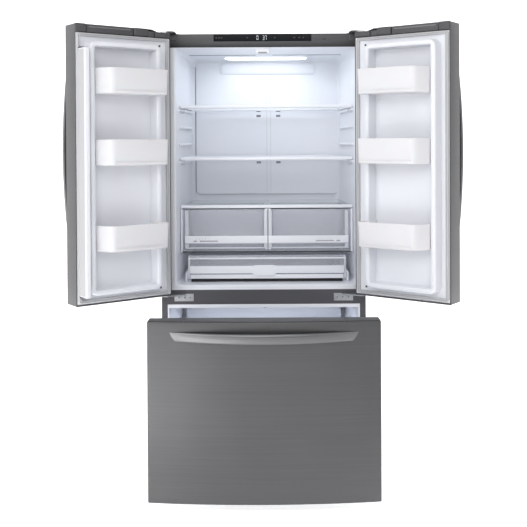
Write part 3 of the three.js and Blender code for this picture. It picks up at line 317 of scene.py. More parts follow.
def rounded_loop(x, z, radius, arc=5, along=10):
    """Rounded rectangle in two directions: quarter circles at its corners, evenly spaced points between."""
    (x0, x1), (z0, z1) = x, z
    r = max(min(radius, (x1 - x0) / 2.001, (z1 - z0) / 2.001), 1e-5)
    sweep = np.linspace(0.0, math.pi / 2, arc + 1)
    centres = [(x1 - r, z1 - r), (x0 + r, z1 - r), (x0 + r, z0 + r), (x1 - r, z0 + r)]
    parts = []
    for i, (cx, cz) in enumerate(centres):
        angle = sweep + i * math.pi / 2
        parts.append(np.column_stack([cx + r * np.cos(angle), cz + r * np.sin(angle)]))
    rows = []
    for i, part in enumerate(parts):
        after = parts[(i + 1) % 4][0]
        step = np.linspace(0.0, 1.0, along + 2)[1:-1, None]
        rows += [part, part[-1] * (1 - step) + after * step]
    return np.vstack(rows)


def inset(span, by):
    """A span made shorter by the same amount at both ends."""
    return span[0] + by, span[1] - by


def facing(x, z, steps, radius=0.004, arc=5, along=10):
    """Loops for a formed panel seen along Y: each step is how far in and at what Y.

    A step may carry a function of X for its Y, so a panel can follow a bowed face.
    """
    loops = []
    for by, y in steps:
        flat = rounded_loop(inset(x, by), inset(z, by), max(radius - by, 0.0004), arc, along)
        depth = y(flat[:, 0]) if callable(y) else y
        loops.append(placed(flat, 1, depth))
    return loops


def quarter(start, end, count=5):
    """Points of a quarter ellipse from start to end, leaving along the first direction."""
    angle = np.linspace(0.0, math.pi / 2, count)
    a, b = np.array(start), np.array(end)
    return [(a[0] + (b[0] - a[0]) * (1 - math.cos(t)), a[1] + (b[1] - a[1]) * math.sin(t)) for t in angle]


def block(name, x, y, z, radius, look, body="cabinet", side=None):
    """A block with rounded edges: rounded rectangles in X and Z, drawn in at both ends along Y."""
    r = min(radius, (y[1] - y[0]) / 2.01, (x[1] - x[0]) / 2.01, (z[1] - z[0]) / 2.01)
    steps = [(r, y[0])] + [(r - r * math.sin(t), y[0] + r - r * math.cos(t)) for t in (0.5, 1.0, math.pi / 2)]
    back = [(i, y[0] + y[1] - d) for i, d in steps[::-1]]
    loops = facing(x, z, steps + back, r, 4, 1)
    return door_loft(name, loops, side, look) if side else loft(name, loops, body, look)


def boxes(rows, prefix="", **where):
    """Rounded blocks from rows of name, spans in X, Y and Z, rounding and finish."""
    for name, *row in rows:
        block(prefix + name, *row, **where)


def inset_outline(corner_points, by):
    """A polygon drawn smaller by moving every edge inwards and crossing neighbours again."""
    pts = np.asarray(corner_points, dtype=float)
    along = np.roll(pts, -1, axis=0) - pts
    along /= np.linalg.norm(along, axis=1)[:, None]
    inward = np.column_stack([-along[:, 1], along[:, 0]])
    moved = pts + inward * by
    before = np.roll(moved, 1, axis=0)
    lead = np.roll(along, 1, axis=0)
    cross = lead[:, 0] * along[:, 1] - lead[:, 1] * along[:, 0]
    gap = moved - before
    t = (gap[:, 0] * along[:, 1] - gap[:, 1] * along[:, 0]) / cross
    return before + lead * t[:, None]


def soft_outline(corner_points, radii, arc=5):
    """Rounds a polygon's corners with a quadratic curve that touches both neighbouring edges."""
    pts = np.asarray(corner_points, dtype=float)
    ahead = np.roll(pts, -1, axis=0) - pts
    behind = np.roll(pts, 1, axis=0) - pts
    t = np.linspace(0.0, 1.0, arc + 1)[:, None]
    rows = []
    for p, f, b, r in zip(pts, ahead, behind, radii):
        reach_b = b / np.linalg.norm(b) * min(r, np.linalg.norm(b) * 0.49)
        reach_f = f / np.linalg.norm(f) * min(r, np.linalg.norm(f) * 0.49)
        rows.append((1 - t) ** 2 * (p + reach_b) + 2 * t * (1 - t) * p + t ** 2 * (p + reach_f))
    return np.vstack(rows)


def tub(outline, radii, z, wall=WALL, draft=0.0, rim=0.0015):
    """Loops of an open-topped tub over a plan outline: outside up, round the rim, inside down.

    draft pulls the foot in; rim is the rounding of the upper edge.
    """
    low, high = z
    half, soft = (low + high) / 2, rim * 0.3
    steps = [(draft + 0.006, low), (draft + 0.002, low + 0.0015), (draft, low + 0.005), (draft * 0.5, half),
             (0.0, high - rim), (soft, high - soft), (wall / 2, high), (wall - soft, high - soft),
             (wall, high - rim), (wall + draft * 0.5, half), (wall + draft, low + wall + 0.004),
             (wall + draft + 0.004, low + wall)]
    loops = []
    for by, height in steps:
        flat = soft_outline(inset_outline(outline, by), np.maximum(np.array(radii) - by * 0.6, 0.001))
        loops.append(placed(flat, 2, height))
    return loops


# --- steel fronts
def bowed(bow, lead):
    """Y of the bowed face over X: a parabola that comes forward to lead in the middle."""
    return lambda x: lead + bow * (x / HALF) ** 2


def front_steps(sizes, lead, window, back, tub_depth):
    """Steps of a sheet front from the wall behind its liner, round its back edge, to its bowed face."""
    face = bowed(sizes.bow, lead)
    steps = [(window + 0.02, back - tub_depth), (window, back - tub_depth), (window, back)]
    steps += [(0.0012, back), (0.0, back - 0.0012)]
    for i, d in quarter((0.0, sizes.edge), (sizes.edge, 0.0), 6):
        steps.append((i, lambda x, d=d: face(x) + d))
    for i in (0.012, 0.02, 0.035, 0.055, 0.08, 0.11, 0.14, 0.17, 0.195):
        steps.append((i, face))
    return steps


def make_door_skin(sizes, side):
    """Bowed steel front of one door, lowered at the corner under the top hinge."""
    x, y, z = zip(*PANEL)
    steps = front_steps(sizes, y[0], LINER[0][0] - x[0], DOOR_BACK, sizes.recess + 3 * WALL)
    loops = np.array(facing(x, z, steps, 0.004, 3, 14))
    seat = corners("left_top_hinge")[1][2] - 0.007
    under = (loops[..., 0] < x[0] + 0.074) & (loops[..., 2] > seat)
    loops[..., 2] = np.where(under, seat, loops[..., 2])
    skin = door_loft(side + "_door_skin", loops, side, "stainless")
    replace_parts(skin, side + "_door_panel")


def bow_handle(ends, centre, face, standoff, width, upright=False, skew=0.0):
    """Loops of a bowed handle: a rounded bar whose outer side rises from the face as a parabola.

    Its inner side keeps the bar's thickness until it meets the face. skew slants the ends.
    """
    loops = []
    for u in np.linspace(0.0, 1.0, 61):
        rise = 4 * u * (1 - u) * standoff
        inner = max(rise - HANDLE_BAR, -0.004)
        thick = rise - inner
        flat = rounded_loop((-width / 2, width / 2), (inner, max(rise, inner + 0.0022)),
                            min(0.0045, thick / 2), 4, 6)
        across, out = flat.T
        crown = np.clip((out - inner) / max(thick, 1e-4), 0.0, 1.0) * min(thick * 0.12, 0.0015)
        out = face - out + crown * (2 * across / width) ** 2
        along = ends[0] + (ends[1] - ends[0]) * u + skew * (2 * u - 1) ** 5 * (across / width)
        loops.append(np.column_stack([centre + across, out, along][::1 if upright else -1]))
    return loops


def make_door_handle(sizes, side):
    """Upright bowed handle near the door's free edge."""
    centre = (HANDLE[0][0] + HANDLE[1][0]) / 2
    face = float(bowed(sizes.bow, PANEL[0][1])(centre))
    ends = (HANDLE[0][2] - 0.008, HANDLE[1][2] + 0.008)
    loops = bow_handle(ends, centre, face, face - HANDLE[0][1], 0.030, upright=True)
    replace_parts(door_loft(side + "_bow_handle", loops, side, "upright_steel"), side + "_door_handle")


def across_bow(span, lead, ahead, z, back):
    """Loops of a strip across a bowed front, ahead behind it, to a fixed back or to a function of X."""
    loops = []
    for x in np.linspace(*span, 25):
        flat = rounded_loop((lead(x) + ahead, back(x) if callable(back) else back), z, 0.001, 3, 1)
        loops.append(placed(flat, 0, x))
    return loops


def make_drawer_front(sizes):
    """Bowed steel front of the freezer drawer with its handle, the dark cap along its top and a painted shadow
    line along the cap's joint.
    """
    body = "freezer_drawer"
    low, high = corners("freezer_drawer_front")
    x, z = (low[0], high[0]), (low[2], high[2] - 0.0005)
    steps = front_steps(sizes, low[1], 0.0045, high[1], 0.012)
    steps += [(by, steps[-1][1]) for by in (0.23, 0.265, 0.3)]
    skin = loft("drawer_skin", facing(x, z, steps, 0.004, 3, 22), body, "stainless")
    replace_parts(skin, "freezer_drawer_front")
    lead = bowed(sizes.bow, low[1])
    bar_x, bar_y, bar_z = spans("freezer_drawer_handle")
    ends = inset(bar_x, -0.009)
    face = float(lead(ends[1]))
    loops = bow_handle(ends, sum(bar_z) / 2, face, face - bar_y[0], bar_z[1] - bar_z[0], skew=0.018)
    bar = loft("drawer_bow_handle", loops, body, "handle_steel")
    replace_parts(bar, "freezer_drawer_handle")
    for i, span in enumerate(((x[0] + 0.003, -0.284), (-0.2825, 0.2825), (0.284, x[1] - 0.003))):
        cap = across_bow(span, lead, 0.0055, (z[1] - 0.003, z[1] + 0.0016), high[1] - 0.002)
        loft(f"drawer_top_cap_{i}", cap, body, "grey_plastic")
    # Painted shadow: a thin dark strip in the shadow finish runs along the joint of the cap and the bowed face and
    # stands for the shade under the cap.
    top_shadow_line = across_bow(inset(x, 0.002), lead, 0.0025, (z[1] - 0.002, z[1] + 0.0006),
                      lambda at: lead(at) + 0.0058)
    loft("drawer_top_seam", top_shadow_line, body, "shadow")


# --- door insides
def make_door_liner(sizes, side):
    """Moulded liner of one door: a flat margin, a rounded ridge and the recess behind the bins."""
    x, z = (LINER[0][0], PANEL[1][0] - 0.0043), (LINER[0][2], LINER[1][2])
    face, r = DOOR_BACK, sizes.ridge
    ridge_z = (PANEL[0][2] + 0.041, PANEL[1][2] - 0.065)
    floor = face - sizes.recess
    plate = [(0.004, face - 0.004), (0.0, face - 0.0034), (0.0, face - 0.001), (0.001, face)]
    shape = [(-0.005, face), (-0.0012, face + 0.0012), (0.0, face + 0.005), (0.0015, CREST - r)]
    shape += [(0.0015 + i, CREST + d - r) for i, d in quarter((0.0, 0.0), (r, r), 5)]
    shape += [(RIDGE_WIDTH - r + r * math.sin(t), CREST - r + r * math.cos(t))
              for t in (0.3, 0.8, 1.25, math.pi / 2)]
    foot = RIDGE_WIDTH + 0.002
    shape += [(foot + i, floor + 0.012 - d) for i, d in quarter((0.0, 0.0), (0.012, 0.012), 5)]
    shape += [(RIDGE_WIDTH + i, floor) for i in (0.03, 0.06, 0.09, 0.115)]
    loops = facing(x, z, plate, 0.003) + facing(RIDGE_X, ridge_z, shape, 0.028)
    skin = door_loft(side + "_liner_shell", loops, side, "white_plastic")
    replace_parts(skin, side + "_door_liner")
    for i, at in enumerate(inset(ridge_z, 0.006)):
        block(f"{side}_screw_cap_{i}", around(RIDGE_X[0] + 0.010, 0.004),
              (CREST - 0.001, CREST + 0.0012), around(at, 0.004), 0.0035, "grey_plastic", side=side)


def make_flap_lugs():
    """Lugs of the folding flap above and below it, and the mount that holds them to the left door's ridge."""
    x, y, z = zip(*FLAP)
    pin_x, pin_y = sum(x) / 2, y[0] + (x[1] - x[0]) / 2
    for i, span in enumerate(((z[0] - 0.006, z[0] - 0.001), (z[1] + 0.001, z[1] + 0.006))):
        block(f"flap_lug_{i}", (RIDGE_X[1] - 0.004, pin_x + 0.010), (DOOR_BACK + 0.014, pin_y + 0.008),
              span, 0.002, "grey_plastic", side="left")
    block("flap_mount", (RIDGE_X[1] - 0.002, RIDGE_X[1] + 0.009), (DOOR_BACK - 0.001, pin_y + 0.004),
          inset(z, -0.006), 0.003, "white_plastic", side="left")


def seal_ring(box):
    """Loops of a seal: a channel section with two soft lips and a groove between them, run round a frame."""
    x, (back, lip), z = zip(*box)
    section = [(0.0, back), (0.0, lip - 0.003), (0.0012, lip - 0.0008), (0.003, lip), (0.0048, lip - 0.001)]
    section += [(0.0056, lip - 0.0035), (0.0068, lip - 0.0035), (0.0078, lip - 0.001), (0.0095, lip)]
    section += [(0.0112, lip - 0.0008), (0.012, lip - 0.003), (0.012, back)]
    return facing(x, z, section, 0.012, 4, 4)


def make_door_seal(side):
    """Soft magnetic seal round the back of a door."""
    seal = door_loft(side + "_seal", seal_ring(GASKET), side, "gasket_rubber", ring=True)
    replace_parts(seal, side + "_door_gasket")


def make_bin(side, level):
    """One door bin: a plan with a slanted free end and an ear over the ridge, raised with rounded edges."""
    low, high = closed_box("left_door_" + level + "_bin")
    ridge = RIDGE_X[0] + 0.025
    free = high[0] - 0.035
    outline = [(ridge, low[1] + 0.002), (high[0], low[1] + 0.002), (high[0], CREST), (free, high[1]),
               (low[0], high[1]), (low[0], CREST + 0.002), (ridge, CREST + 0.002)]
    radii = (0.006, 0.006, 0.010, 0.020, 0.016, 0.004, 0.004)
    loops = tub(outline, radii, (low[2], high[2]), 0.003, 0.0022, 0.0018)
    body = door_loft(f"{side}_{level}_bin_body", loops, side, "frosted_plastic", sharp=50)
    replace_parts(body, f"{side}_door_{level}_bin")
    block(f"{side}_{level}_bin_line", (low[0] + 0.016, free - 0.012),
          (high[1] - 0.0016, high[1] + 0.0006), (low[2] + 0.012, low[2] + 0.014), 0.0006,
          "frosted_plastic", side=side)


def make_door_trims(side):
    """Dark caps over the liner's upper edge, from the free end to the hinge, and the trim along the foot."""
    (x0, x1), _, (bottom, top) = zip(*PANEL)
    foot = LINER[1][2] + 0.0015
    for name, x, out, z, radius in (
            ("trim_end", (x1 - 0.046, x1 - 0.0005), 0.008, (foot, top + 0.0006), 0.004),
            ("trim_channel", (x0 + 0.176, x1 - 0.056), 0.0055, (top - 0.0135, top - 0.0065), 0.003),
            ("trim_rail", (x0 + 0.168, x1 - 0.048), 0.004, (foot, top - 0.0025), 0.002),
            ("trim_block", (x0 + 0.104, x0 + 0.166), 0.009, (foot, top + 0.0004), 0.006),
            ("trim_step", (x0 + 0.074, x0 + 0.106), 0.006, (foot, top - 0.009), 0.004),
            ("trim_corner", (x0 + 0.006, x0 + 0.072), 0.007, (foot, top - 0.0095), 0.005),
            ("foot_trim", (x0 + 0.004, x1 - 0.001), 0.002, (bottom + 0.0004, LINER[0][2] - 0.0004), 0.002)):
        block(f"{side}_{name}", x, (DOOR_BACK - 0.004, DOOR_BACK + out), z, radius,
              "zinc_grey" if name == "trim_channel" else "grey_plastic", side=side)


def make_flap():
    """Folding flap of the left door: a white moulding rounded about its pin, with a grey sealing face."""
    x, y, z = zip(*FLAP)
    r, bend = (x[1] - x[0]) / 2, 0.004
    arcs = ((x[0] + r, y[0] + r, r, np.linspace(math.pi, 2 * math.pi, 13)),
            (x[1] - bend, y[1] - bend, bend, np.linspace(0.0, math.pi / 2, 5)),
            (x[0] + bend, y[1] - bend, bend, np.linspace(math.pi / 2, math.pi, 5)))
    flat = np.vstack([np.column_stack([cx + by * np.cos(t), cy + by * np.sin(t)]) for cx, cy, by, t in arcs])
    centre = flat.mean(axis=0)
    loops = [placed(centre + (flat - centre) * scale, 2, height) for height, scale in
             ((z[0], 0.9), (z[0] + 0.001, 1.0), (z[1] - 0.001, 1.0), (z[1], 0.9))]
    body = door_loft("flap_body", loops, "left", "white_plastic", body="flip_mullion")
    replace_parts(body, "flip_mullion")
    steps = [(0.001, x[1] - 0.002), (0.0, x[1] - 0.0014), (0.0, x[1] + 0.0002), (0.0008, x[1] + 0.0009)]
    plate = np.array(facing((y[0] + 0.006, y[1] - 0.007), inset(z, 0.004), steps, 0.004))
    door_loft("flap_face", plate[..., [1, 0, 2]], "left", "pale_grey", body="flip_mullion")


# --- compartments
def compartment():
    """X at the mouth and at the back, Y of both, and Z of floor and ceiling, from the liner's mesh."""
    pts = points_of("fresh_food_liner")
    low, high = pts.min(axis=0), pts.max(axis=0)
    mouth = np.unique(np.round(pts[pts[:, 1] < low[1] + 1e-4][:, 0], 4))
    back = np.unique(np.round(pts[np.abs(pts[:, 1] - high[1] + WALL) < 1e-4][:, 0], 4))
    floor = corners("pantry_drawer")[0][2] - FIT
    return (mouth[1], mouth[-2]), (back[0], back[-1]), (low[1], high[1] - WALL), (floor, high[2] - WALL)


def make_fresh_liner():
    """Formed liner of the fresh food compartment: flange, rounded mouth, leaning walls and rounded back."""
    mouth, back, y, z = compartment()
    flange_x, _, (sill, _) = spans("fresh_food_liner")
    head = corners("control_housing")[1][2] - 0.0553
    room, flange_z = (z[0], head - 0.001), (sill, head)

    def at(depth, x, zz, radius):
        return placed(rounded_loop(x, zz, radius, 6, 12), 1, depth)

    loops = [at(y[1] + WALL, inset(back, -WALL), inset(room, -0.0008), 0.03),
             at(y[0] + WALL, inset(mouth, -WALL), inset(room, -0.0008), 0.012),
             at(y[0] + WALL, flange_x, flange_z, 0.001), at(y[0], flange_x, flange_z, 0.001)]
    for i, d in quarter((0.0, 0.0), (0.005, 0.006), 5):
        loops.append(at(y[0] + d, inset(mouth, -0.005 + i), (room[0] - 0.005 + i, room[1]), 0.012))
    for s in np.linspace(0.02, 1.0, 12):
        depth = y[0] + (y[1] - BACK_ROUND - y[0]) * s
        share = (depth - y[0]) / (y[1] - y[0])
        x = (mouth[0] + (back[0] - mouth[0]) * share, mouth[1] + (back[1] - mouth[1]) * share)
        loops.append(at(depth, x, room, 0.012 + 0.018 * s))
    for i, d in quarter((0.0, 0.0), (BACK_ROUND, BACK_ROUND), 7)[1:]:
        loops.append(at(y[1] - BACK_ROUND + d, inset(back, i), inset(room, i), BACK_ROUND))
    for i in (0.06, 0.12, 0.2, 0.3):
        loops.append(at(y[1], inset(back, i), inset(room, i), BACK_ROUND))
    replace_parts(loft("fresh_liner_shell", loops, "cabinet", "white_plastic"), "fresh_food_liner")


def wall_at(y, side, gap=0.0):
    """X of the compartment's side wall at depth y, a straight line from mouth to back, with a gap to it."""
    mouth, back, depth, _ = compartment()
    i = 0 if side < 0 else 1
    return mouth[i] + (back[i] - mouth[i]) * (y - depth[0]) / (depth[1] - depth[0]) - side * gap


def between_walls(y, gap):
    """Span from wall to wall at depth y, keeping a gap to both."""
    return wall_at(y, -1, gap), wall_at(y, 1, gap)


def beside_wall(y, side, near, far):
    """Span beside one wall at depth y, from near to far off it."""
    return sorted((wall_at(y, side, near), wall_at(y, side, far)))


def make_ledges():
    """Rounded shelf ledges down both walls, at the shelves and at the spare levels between them."""
    _, (y0, y1), (upper, _) = spans("upper_shelf")
    middle = corners("middle_shelf")[0][2]
    y0, y1 = y0 - 0.012, y1 - 0.02
    for side, label in SIDES:
        for i in range(4):
            top = middle + (upper - middle) / 3 * i - FIT
            loops = []
            for s in np.linspace(0.0, 1.0, 9):
                y = y0 + (y1 - y0) * s
                reach = 0.013 * min(1.0, math.sin(math.pi * min(max(s, 0.02), 0.98)) * 3 + 0.15)
                span = beside_wall(y, side, -0.002, reach)
                loops.append(placed(rounded_loop(span, (top - 0.011, top), 0.004, 3, 1), 1, y))
            loft(f"{label}_ledge_{i}", loops, "cabinet", "white_plastic")


def make_back_wall():
    """Air duct cover: a wide panel, its raised upper part, the seams down its middle and the vents."""
    back = compartment()[1]
    (x0, x1), (_, y), z = spans("air_duct_cover")
    x = (back[0] + 0.017, back[1] - 0.006)
    middle = (x0 + x1) / 2
    plate = [(0.004, y), (0.0, y - 0.002), (0.0, y - 0.006), (0.003, y - 0.009), (0.02, y - 0.0095),
             (0.1, y - 0.0095)]
    cover = loft("duct_panel", facing(x, (z[0], z[1] + 0.001), plate, 0.02), "cabinet", "white_plastic")
    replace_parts(cover, "air_duct_cover")
    head = [(0.0, y - 0.008), (0.0008, y - 0.0105), (0.006, y - 0.0145), (0.02, y - 0.0150),
            (0.026, y - 0.0150)]
    head = facing((middle - 0.228, middle + 0.222), (z[1] - 0.058, z[1] - 0.001), head, 0.016)
    loft("duct_head", head, "cabinet", "white_plastic")
    for i, at in enumerate((middle - 0.0075, middle + 0.0105)):
        block(f"duct_seam_{i}", around(at, 0.0007), (y - 0.0098, y - 0.0090),
              (z[0] + 0.01, z[1] - 0.062), 0.0003, "gasket_rubber")
    for i, at in enumerate(inset(x, -0.0016)):
        block(f"duct_edge_{i}", around(at, 0.0014), (y - 0.007, y - 0.001), (z[0] + 0.01, z[1] - 0.02),
              0.0006, "seam_grey")
    for i, node in enumerate(("upper_shelf", "middle_shelf")):
        for j, at in enumerate(around(middle, 0.046)):
            for k in range(2):
                z0 = corners(node)[1][2] - 0.013 - 0.0235 * k
                # Painted shade: a dark plate in the shadow finish stands for the shade inside each vent opening,
                # behind its white blade.
                block(f"vent_{i}{j}{k}", around(at, 0.010), (y - 0.0102, y - 0.009), (z0, z0 + 0.009),
                      0.002, "shadow")
                block(f"vent_blade_{i}{j}{k}", around(at, 0.009), (y - 0.0112, y - 0.0095),
                      (z0 + 0.0035, z0 + 0.0052), 0.0008, "white_plastic")


def make_ceiling():
    """Glowing lamp lens with round ends, and the dark lines across the ceiling."""
    x, y, z = spans("lamp_cover")
    loops = []
    for by, height in ((0.012, z[0] + 0.0005), (0.006, z[0] + 0.0012), (0.001, z[0] + 0.004), (0.0, z[1])):
        loops.append(placed(rounded_loop(inset(x, by), inset(y, by), 0.044 - by, 8, 6), 2, height))
    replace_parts(loft("lamp_lens", loops, "cabinet", "glow"), "lamp_cover")
    head = corners("control_housing")[1][2] - 0.0563
    # Two thin dark strips in the shadow finish run across the ceiling.
    for i, span in enumerate(((-0.322, -0.030), (0.044, 0.346))):
        block(f"ceiling_dark_line_{i}", span, (FRONT + 0.300, FRONT + 0.306), (head - 0.0012, head + 0.0006),
              0.0006, "shadow")


def make_display():
    """Pale seven-segment digits and faint marks on the display glass, and a round sensor beside it."""
    low, high = corners("display_glass")
    y = around(low[1], 0.0004)
    middle = (low[2] + high[2]) / 2
    tall, wide, stroke = 0.016, 0.0058, 0.0009
    lit = {"0": "abcdef", "3": "abcdg", "7": "abc"}
    rows = {"a": 1.0, "g": 0.0, "d": -1.0}
    sides = {"f": (-1, 1), "b": (1, 1), "e": (-1, -1), "c": (1, -1)}
    for index, (sign, at) in enumerate((("0", -0.0205), ("3", 0.004), ("7", 0.0135))):
        for segment in lit[sign]:
            if segment in rows:
                x, z = around(at, wide / 2), around(middle + rows[segment] * tall / 2, stroke / 2)
            else:
                sx, sz = sides[segment]
                x = around(at + sx * wide / 2, stroke / 2)
                z = sorted((middle + sz * 0.0008, middle + sz * tall / 2))
            block(f"digit_{index}_{segment}", x, y, z, 0.0003, "digits")
    for index, at in enumerate((-0.187, -0.176, -0.166, -0.062, 0.050, 0.130, 0.150, 0.166)):
        block(f"mark_{index}", around(at, 0.0032), y, around(middle, 0.0022), 0.0020, "faint")
    block("sensor", (0.244, 0.258), y, (middle - 0.009, middle - 0.003), 0.0029, "faint")


def make_control_housing():
    """Housing over the compartment: a rounded front over a lip that leans back, carried across in X.

    The white guide of the folding flap hangs under its middle.
    """
    low, high = corners("control_housing")
    pts = points_of("control_housing")
    ceiling = corners("fresh_food_liner")[1][2] - WALL
    lip = pts[(pts[:, 1] < low[1] + 1e-4)][:, 2].min()
    slope = pts[np.abs(pts[:, 2] - ceiling) < 2e-3][:, 1].min()
    front, r = low[1] + 0.0004, 0.0035
    section = [(high[1], high[2])]
    section += [(front + r - r * math.sin(t), high[2] - r + r * math.cos(t))
                for t in np.linspace(0.0, math.pi / 2, 6)]
    section += [(front, lip + 0.001), (front + 0.0006, lip), (slope, ceiling + 0.0012),
                (slope + 0.001, ceiling + 0.0004), (high[1], ceiling + 0.0004)]
    section = np.array(section)
    middle = section.mean(axis=0)
    loops = [placed(middle + (section - middle) * scale, 0, x) for x, scale in
             ((low[0], 0.985), (low[0] + 0.001, 1.0), (high[0] - 0.001, 1.0), (high[0], 0.985))]
    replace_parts(loft("housing_body", loops, "cabinet", "grey_plastic"), "control_housing")
    guide = pts[pts[:, 2] < ceiling - 0.004]
    x, y, (foot, _) = zip(guide.min(axis=0), guide.max(axis=0))
    block("flap_guide", x, y, (foot, ceiling + 0.001), 0.004, "white_plastic")
    block("flap_guide_slot", inset(x, 0.010), (y[0] - 0.0004, y[0] + 0.002),
          (foot + 0.001, foot + 0.008), 0.002, "seam_grey")


# --- shelves and inner drawers
def make_pane(name, sizes, y, top, gap):
    """A glass pane over the compartment's leaning plan with softened edges; top is its frame's top."""
    loops = []
    for by, z in ((0.0006, top - 0.003 - sizes.pane), (0.0, top - 0.0026 - sizes.pane), (0.0, top - 0.0034),
                  (0.0006, top - 0.003)):
        y0, y1 = y[0] + 0.006 + by, y[1] - 0.004 - by
        near, far = between_walls(y0, gap + by), between_walls(y1, gap + by)
        plan = [(near[0], y0), (near[1], y0), (far[1], y1), (far[0], y1)]
        loops.append(placed(soft_outline(plan, [0.004 - by] * 4), 2, z))
    return loft(name, loops, "cabinet", "shelf_glass")


def make_shelf(sizes, node):
    """A glass shelf: the pane, its white trim and rails, and the brackets under its ends."""
    _, y, (_, top) = spans(node)
    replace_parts(make_pane(node + "_pane", sizes, y, top, 0.006), node)
    block(node + "_front_trim", between_walls(y[0], SIDE_GAP), (y[0], y[0] + 0.013),
          (top - sizes.trim, top), 0.004, "white_plastic")
    block(node + "_back_rail", between_walls(y[1], SIDE_GAP), (y[1] - 0.012, y[1] - 0.001),
          (top - 0.011, top), 0.003, "white_plastic")
    for side, label in SIDES:
        block(f"{node}_{label}_bracket", beside_wall(y[0], side, SIDE_GAP, 0.019),
              (y[0] + 0.004, y[0] + 0.050), (top - 0.034, top - 0.012), 0.005, "clear_plastic")
        loops = []
        for depth in (y[0] + 0.01, y[1] - 0.006):
            span = beside_wall(depth, side, SIDE_GAP, 0.015)
            loops.append(placed(rounded_loop(span, (top - 0.010, top - 0.0002), 0.002, 3, 1), 1, depth))
        loft(f"{node}_{label}_rail", loops, "cabinet", "white_plastic")


def make_crisper_frame(sizes):
    """Crisper housing: glass cover and floor, white front trims, middle divider and side posts."""
    _, y, (_, top) = spans("crisper_frame")
    floor = corners("left_crisper")[0][2] - 0.0015
    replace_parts(make_pane("crisper_cover_pane", sizes, y, top, 0.004), "crisper_frame")
    make_pane("crisper_floor_pane", sizes, y, floor, 0.004)
    gap = (corners("left_crisper")[1][0] + 0.0015, corners("right_crisper")[0][0] - 0.0015)
    boxes((
        ("crisper_cover_trim", between_walls(y[0] - 0.002, SIDE_GAP), (y[0] - 0.002, y[0] + 0.013),
         (top - 0.0135, top), 0.004, "white_plastic"),
        ("crisper_cover_shade", between_walls(y[0] + 0.002, 0.004), (y[0] + 0.002, y[0] + 0.010),
         (top - 0.0175, top - 0.0138), 0.001, "shadow"),
        ("crisper_floor_trim", between_walls(y[0] - 0.001, 0.004), (y[0] - 0.001, y[0] + 0.010),
         (floor - 0.0085, floor - 0.001), 0.002, "clear_plastic"),
        ("crisper_floor_shade", between_walls(y[0] + 0.001, 0.004), (y[0] + 0.001, y[0] + 0.008),
         (floor - 0.013, floor - 0.009), 0.001, "shadow"),
        ("crisper_divider", gap, (y[0] + 0.001, y[1] - 0.004), (floor - 0.001, top - 0.014), 0.003,
         "white_plastic"),
        ("crisper_divider_line", around(sum(gap) / 2, 0.002), (y[0] - 0.003, y[0] + 0.002),
         (floor - 0.001, top - 0.0145), 0.0008, "seam_grey")))
    for side, label in SIDES:
        block(f"crisper_{label}_post", beside_wall(y[0], side, SIDE_GAP, 0.011), (y[0], y[0] + 0.016),
              (floor - 0.012, top - 0.015), 0.002, "white_plastic")


def make_crisper(side):
    """A clear crisper with drafted walls, its white handle band, the slider's slot and tick marks."""
    node, slider = side + "_crisper", side + "_humidity_slider"
    x, (y0, y1), (bottom, top) = spans(node)
    knob_x, knob_y, knob_z = spans(slider)
    front = y0 + 0.008
    outline = [(x[0] + 0.001, front), (x[1] - 0.001, front), (x[1] - 0.001, y1), (x[0] + 0.001, y1)]
    loops = tub(outline, (0.012,) * 4, (bottom, top), 0.0025, 0.0015)
    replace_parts(loft(node + "_tub", loops, node, "clear_plastic", sharp=60), node)
    band = (knob_z[0] - 0.0034, knob_z[0] - 0.0034 + 0.030)
    inner, outer = 0.0005, 0.0118
    face = (x[0] + inner, x[1] + outer) if side == "left" else (x[0] - outer, x[1] - inner)
    end, way = (knob_x[0], 1) if side == "left" else (knob_x[1], -1)
    slot = sorted((end - way * 0.004, end + way * 0.098))
    thick, pane, ink = (y0 + 0.0012, y0 + 0.0034), (y0 + 0.0016, y0 + 0.0034), (y0 + 0.0008, y0 + 0.0016)
    boxes((
        ("_band", face, thick, band, 0.001, "white_plastic"),
        ("_band_lip", inset(face, 0.003), thick, (band[0] - 0.0035, band[0] - 0.0002), 0.001,
         "frame_plastic")), body=node, prefix=node)
    for i, span in enumerate(((face[0] + 0.001, face[0] + 0.015), (face[1] - 0.015, face[1] - 0.001))):
        for j, z in enumerate(((bottom + 0.002, band[0] - 0.004), (band[1] + 0.0003, top - 0.004))):
            block(f"{node}_stile_{i}{j}", span, pane, z, 0.001, "frame_plastic", node)
    boxes((
        ("_sill", inset(face, 0.016), pane, (bottom + 0.002, bottom + 0.008), 0.001, "frame_plastic"),
        ("_slot", slot, ink, inset(knob_z, 0.0025), 0.0006, "seam_grey")), body=node, prefix=node)
    for i in range(5):
        tick = slot[0] + 0.012 + i * 0.0125
        block(f"{node}_tick_{i}", (tick, tick + 0.0016), ink,
              (knob_z[1] + 0.003, knob_z[1] + 0.006 + 0.0012 * (i % 2)), 0.0004, "seam_grey", node)
    block(node + "_rim", inset(x, 0.002), (front - 0.0025, front + 0.004), (top - 0.006, top - 0.0005),
          0.0015, "clear_plastic", node)
    knob = block(side + "_humidity_knob", around(sum(knob_x) / 2, 0.0055), knob_y,
                 (knob_z[0] - 0.004, knob_z[1]), 0.0025, "white_plastic", slider)
    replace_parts(knob, slider)


